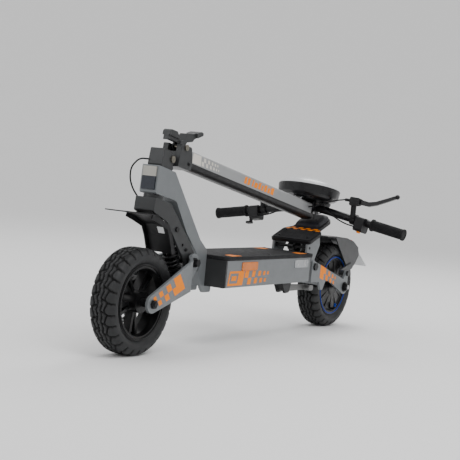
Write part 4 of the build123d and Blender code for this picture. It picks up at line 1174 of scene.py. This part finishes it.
# ------------------------------------------------------------------ swing arms and fork
@dataclass
class Arms:
    """Orange graphics on the swing arms, label on the front guard, screws."""

    scooter: Scooter

    def build(self) -> None:
        """Builds the arms' own pieces."""
        self.graphic("front", "front_arms", 0.128, 0.0225)
        self.graphic("rear", "rear_arms", 0.182, 0.0195)
        self.fender_label()
        self.fork_screws()
        self.axle_nuts()

    def graphic(self, end: str, node: str, reach: float, cell: float) -> None:
        """Orange block near the pivot that breaks up into squares towards the axle.

        Args:
            end: "front" or "rear".
            node: the arms' CAD node.
            reach: where the block starts, measured from the axle.
            cell: the size of the squares.
        """
        low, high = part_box(node)
        axle = self.scooter.point(f"{end}_wheel_spin")
        aim = Vector((-0.925, 0, 0.379)) if end == "front" else Vector((0.955, 0, 0.297))
        for side, label in SIDES:
            out = Vector((0, side, 0))
            along = -aim
            up = out.cross(along)
            face = high.y if side > 0 else low.y
            start = axle + aim * reach
            place = Place(Vector((start.x, face + side * DECAL_GAP, start.z)), along, up, out)
            lean = 0.25 * (1 if up.z * along.x > 0 else -1)
            tall = cell * 1.02
            block = [(0.0, -tall), (cell * 1.3, -tall), (cell * 1.3, 0.0), (cell * 2.0, 0.0),
                     (cell * 2.0, tall * 0.86), (0.0, tall * 0.86)]
            shapes = [[(x + lean * y, y) for x, y in block]]
            shapes += checker_trail(cell * 2.05, cell * 0.8, 2, 6, lean)
            piece = plates(f"{end}_arm_squares_{label}", shapes, place, DECAL, ORANGE)
            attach(piece, f"{end}_arm")

    def axle_nuts(self) -> None:
        """Flanged nuts and the axle's threaded ends on both sides of the rear wheel."""
        axle = self.scooter.point("rear_wheel_spin")
        low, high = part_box("rear_arms")
        for side, label in SIDES:
            out = Vector((0, side, 0))
            face = high.y if side > 0 else low.y
            place = facing(Vector((axle.x, face, axle.z)), out)
            flange = turned(f"rear_nut_flange_{label}", [(0.0155, 0.0), (0.0155, 0.0018), (0.012, 0.0028)],
                            place, DARK_STEEL, 32)
            nut = turned(f"rear_nut_{label}", [(0.0115, 0.0), (0.0115, 0.0095), (0.0102, 0.0108)],
                         place, DARK_STEEL, 6)
            stub = turned(f"rear_stub_{label}", [(0.0068, 0.0), (0.0068, 0.0142), (0.006, 0.015)],
                          place, STEEL, 24)
            for piece in (flange, nut, stub):
                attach(piece, "rear_arm")

    def fender_label(self) -> None:
        """Blank pale label on the front guard's lower leg."""
        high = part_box("front_fender")[1]
        top = Vector((high.x - 0.158, 0, high.z - 0.030))
        foot = Vector((high.x - 0.175, 0, high.z - 0.057))
        down = (foot - top).normalized()
        out = Vector((-down.z, 0, down.x))
        middle = top.lerp(foot, 0.5) + out * 0.0026
        place = Place(middle + Vector((0, 0.010, 0)), Vector((0, 1, 0)), out.cross(Vector((0, 1, 0))), out)
        shape = [(-0.009, -0.009), (0.009, -0.009), (0.009, 0.009), (-0.009, 0.009)]
        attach(plates("guard_label", [shape], place, DECAL, LABEL_AND_HIGHLIGHT), "steering")

    def fork_screws(self) -> None:
        """Socket screws on the fork's legs."""
        low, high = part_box("fork")
        pivot = self.scooter.point("front_suspension")
        spot = pivot + Vector((0.043, 0, 0.043))
        for side, label in SIDES:
            y = high.y if side > 0 else low.y
            place = facing(Vector((spot.x - 0.016, y, spot.z - 0.012)), Vector((0, side, 0)))
            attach(screw(f"fork_screw_{label}", place, 0.0045, 0.003, DARK_STEEL), "steering")


# ------------------------------------------------------------------ stage
@dataclass
class Studio:
    """Pale floor, soft lights and the camera."""

    lens: float = 91.62
    eye: Color = (2.79396, 1.58684, 0.46774)
    right: Color = (-0.5146667, 0.8522951, 0.0933340)
    up: Color = (0.0002873, -0.1086868, 0.9940760)

    def build(self) -> None:
        """Builds the stage."""
        self.floor()
        self.lights()
        self.camera()

    def floor(self) -> None:
        """Pale floor under the object."""
        finish = Finish("studio_floor", (0.86, 0.86, 0.86), 0.7, grain_depth=0.00001, drift=0.005,
                        soft_edge=0.0)
        flat, bend, around, steps = 5.0, 6.0, 96, 24
        rings = [(flat, 0.0)]
        for k in range(1, steps + 1):
            turn = math.pi / 2 * k / steps
            rings.append((flat + bend * math.sin(turn), bend * (1 - math.cos(turn))))
        turns = [2 * math.pi * j / around for j in range(around)]
        points = [(r * math.cos(t), r * math.sin(t), h) for r, h in rings for t in turns]
        faces: list[Sequence[int]] = list(ring_faces(len(rings), around, False))
        faces.append(list(range(around)))
        add_mesh("studio_floor", points, faces, finish)

    def lights(self) -> None:
        """Even sky light with a key, a fill and a rim lamp."""
        world = bpy.data.worlds.new("studio")
        bpy.context.scene.world = world
        world.use_nodes = True
        sky = world.node_tree.nodes["Background"]
        sky.inputs["Color"].default_value = (1.0, 1.0, 1.0, 1.0)
        sky.inputs["Strength"].default_value = 0.95
        for name, place, size, power in (("key", (1.2, 1.6, 3.0), 1.8, 46.0),
                                         ("fill", (3.0, -1.8, 1.8), 1.6, 14.0),
                                         ("rim", (-2.2, -0.6, 2.8), 1.2, 46.0)):
            lamp = bpy.data.lights.new(name, "AREA")
            lamp.energy = power
            lamp.size = size
            piece = bpy.data.objects.new(name, lamp)
            piece.location = place
            piece.rotation_euler = (Vector(place) - Vector((0, 0, 0.25))).to_track_quat("Z", "Y").to_euler()
            bpy.context.scene.collection.objects.link(piece)

    def camera(self) -> None:
        """Camera at eye height in front of the left front wheel."""
        lens = bpy.data.cameras.new("view")
        lens.lens = self.lens
        lens.sensor_width = 36.0
        lens.clip_end = 60.0
        piece = bpy.data.objects.new("view", lens)
        right, up = Vector(self.right), Vector(self.up)
        piece.matrix_world = Place(Vector(self.eye), right, up, right.cross(up)).matrix()
        bpy.context.scene.collection.objects.link(piece)
        bpy.context.scene.camera = piece


# ------------------------------------------------------------------ CAD nodes
@dataclass
class Shell:
    """Finishes of the CAD nodes."""

    scooter: Scooter

    def build(self) -> None:
        """Gives every CAD node its finish."""
        finishes = dict(NODE_FINISH)
        finishes.update(self.two_tone_and_painted_light())
        for name, piece in self.scooter.frame["nodes"].items():
            finish = finishes.get(name)
            if finish is None:
                continue
            piece.data.materials.clear()
            piece.data.materials.append(finish.material())

    def two_tone_and_painted_light(self) -> dict[str, Finish]:
        """Makes the finishes with two fields, split by a plane measured from the frame: two-tone paint on the
        stem, amber and grey on the side markers, a painted highlight on the pod's pale top and a painted
        reflection on the lens's pale upper part.

        Returns:
            The finishes by CAD node.
        """
        stem = self.scooter.stem()
        above = tuple(stem.up)
        level = stem.origin.dot(stem.up)
        lens_low, lens_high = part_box("headlight_lens")
        lamp_low, lamp_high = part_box("side_markers")
        return {
            "stem_tube": Finish("stem_paint", (0.012, 0.012, 0.013), 0.42, 0.2, 0.0, Grain.FLAKE, 1500,
                                0.00002, shine=0.3, second=(0.3, 0.305, 0.31), split_along=above,
                                split_at=level + 8 * MM, second_rough=0.36),
            # The pod's dome above this plane is pale grey: a painted highlight on the black plastic.
            "display_housing": Finish("pod_plastic", (0.004, 0.004, 0.005), 0.3, 0.0, 0.15, shine=0.3,
                                      second=(0.5, 0.51, 0.52), split_along=above,
                                      split_at=level + 85.5 * MM, second_rough=0.3, grain_depth=0.00002),
            # The lens's upper part is pale: a painted reflection on the dark glass.
            "headlight_lens": Finish("lamp_lens", (0.012, 0.016, 0.026), 0.1, 0.2, 0.5, Grain.RIBBED, 45,
                                     0.0003, second=(0.36, 0.35, 0.32), second_rough=0.12,
                                     split_at=lens_low.z * 0.42 + lens_high.z * 0.58),
            "side_markers": Finish("marker_lens", (0.33, 0.34, 0.35), 0.25, 0.0, 0.1, Grain.RIBBED, 70,
                                   0.0006, shine=0.3, drift=0.5, second=(0.62, 0.15, 0.0),
                                   split_along=(1.0, 0.0, 0.0),
                                   split_at=(lamp_low.x + lamp_high.x) / 2, second_rough=0.14),
        }


def main() -> None:
    """Builds the whole scene."""
    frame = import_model()
    scooter = Scooter(frame)
    steps: list[tuple[str, Callable[[], object]]] = [
        ("node finishes", Shell(scooter).build),
        ("wheels", Wheels(scooter).build),
        ("front spring", ShockSpring("front_coil", scooter, "front").build),
        ("rear spring", ShockSpring("rear_coil", scooter, "rear").build),
        ("cockpit", Cockpit(scooter).build),
        ("deck", Deck(scooter).build),
        ("arms", Arms(scooter).build),
        ("studio", Studio().build),
    ]
    for name, step in steps:
        before = set(bpy.data.objects)
        step()
        LOG.info("built %s", name)
        for piece in sorted(set(bpy.data.objects) - before, key=lambda made: made.name):
            LOG.info("piece %s", piece.name)
    bpy.context.view_layer.update()


if __name__ == "__main__":
    logging.basicConfig(level=logging.INFO)
    main()
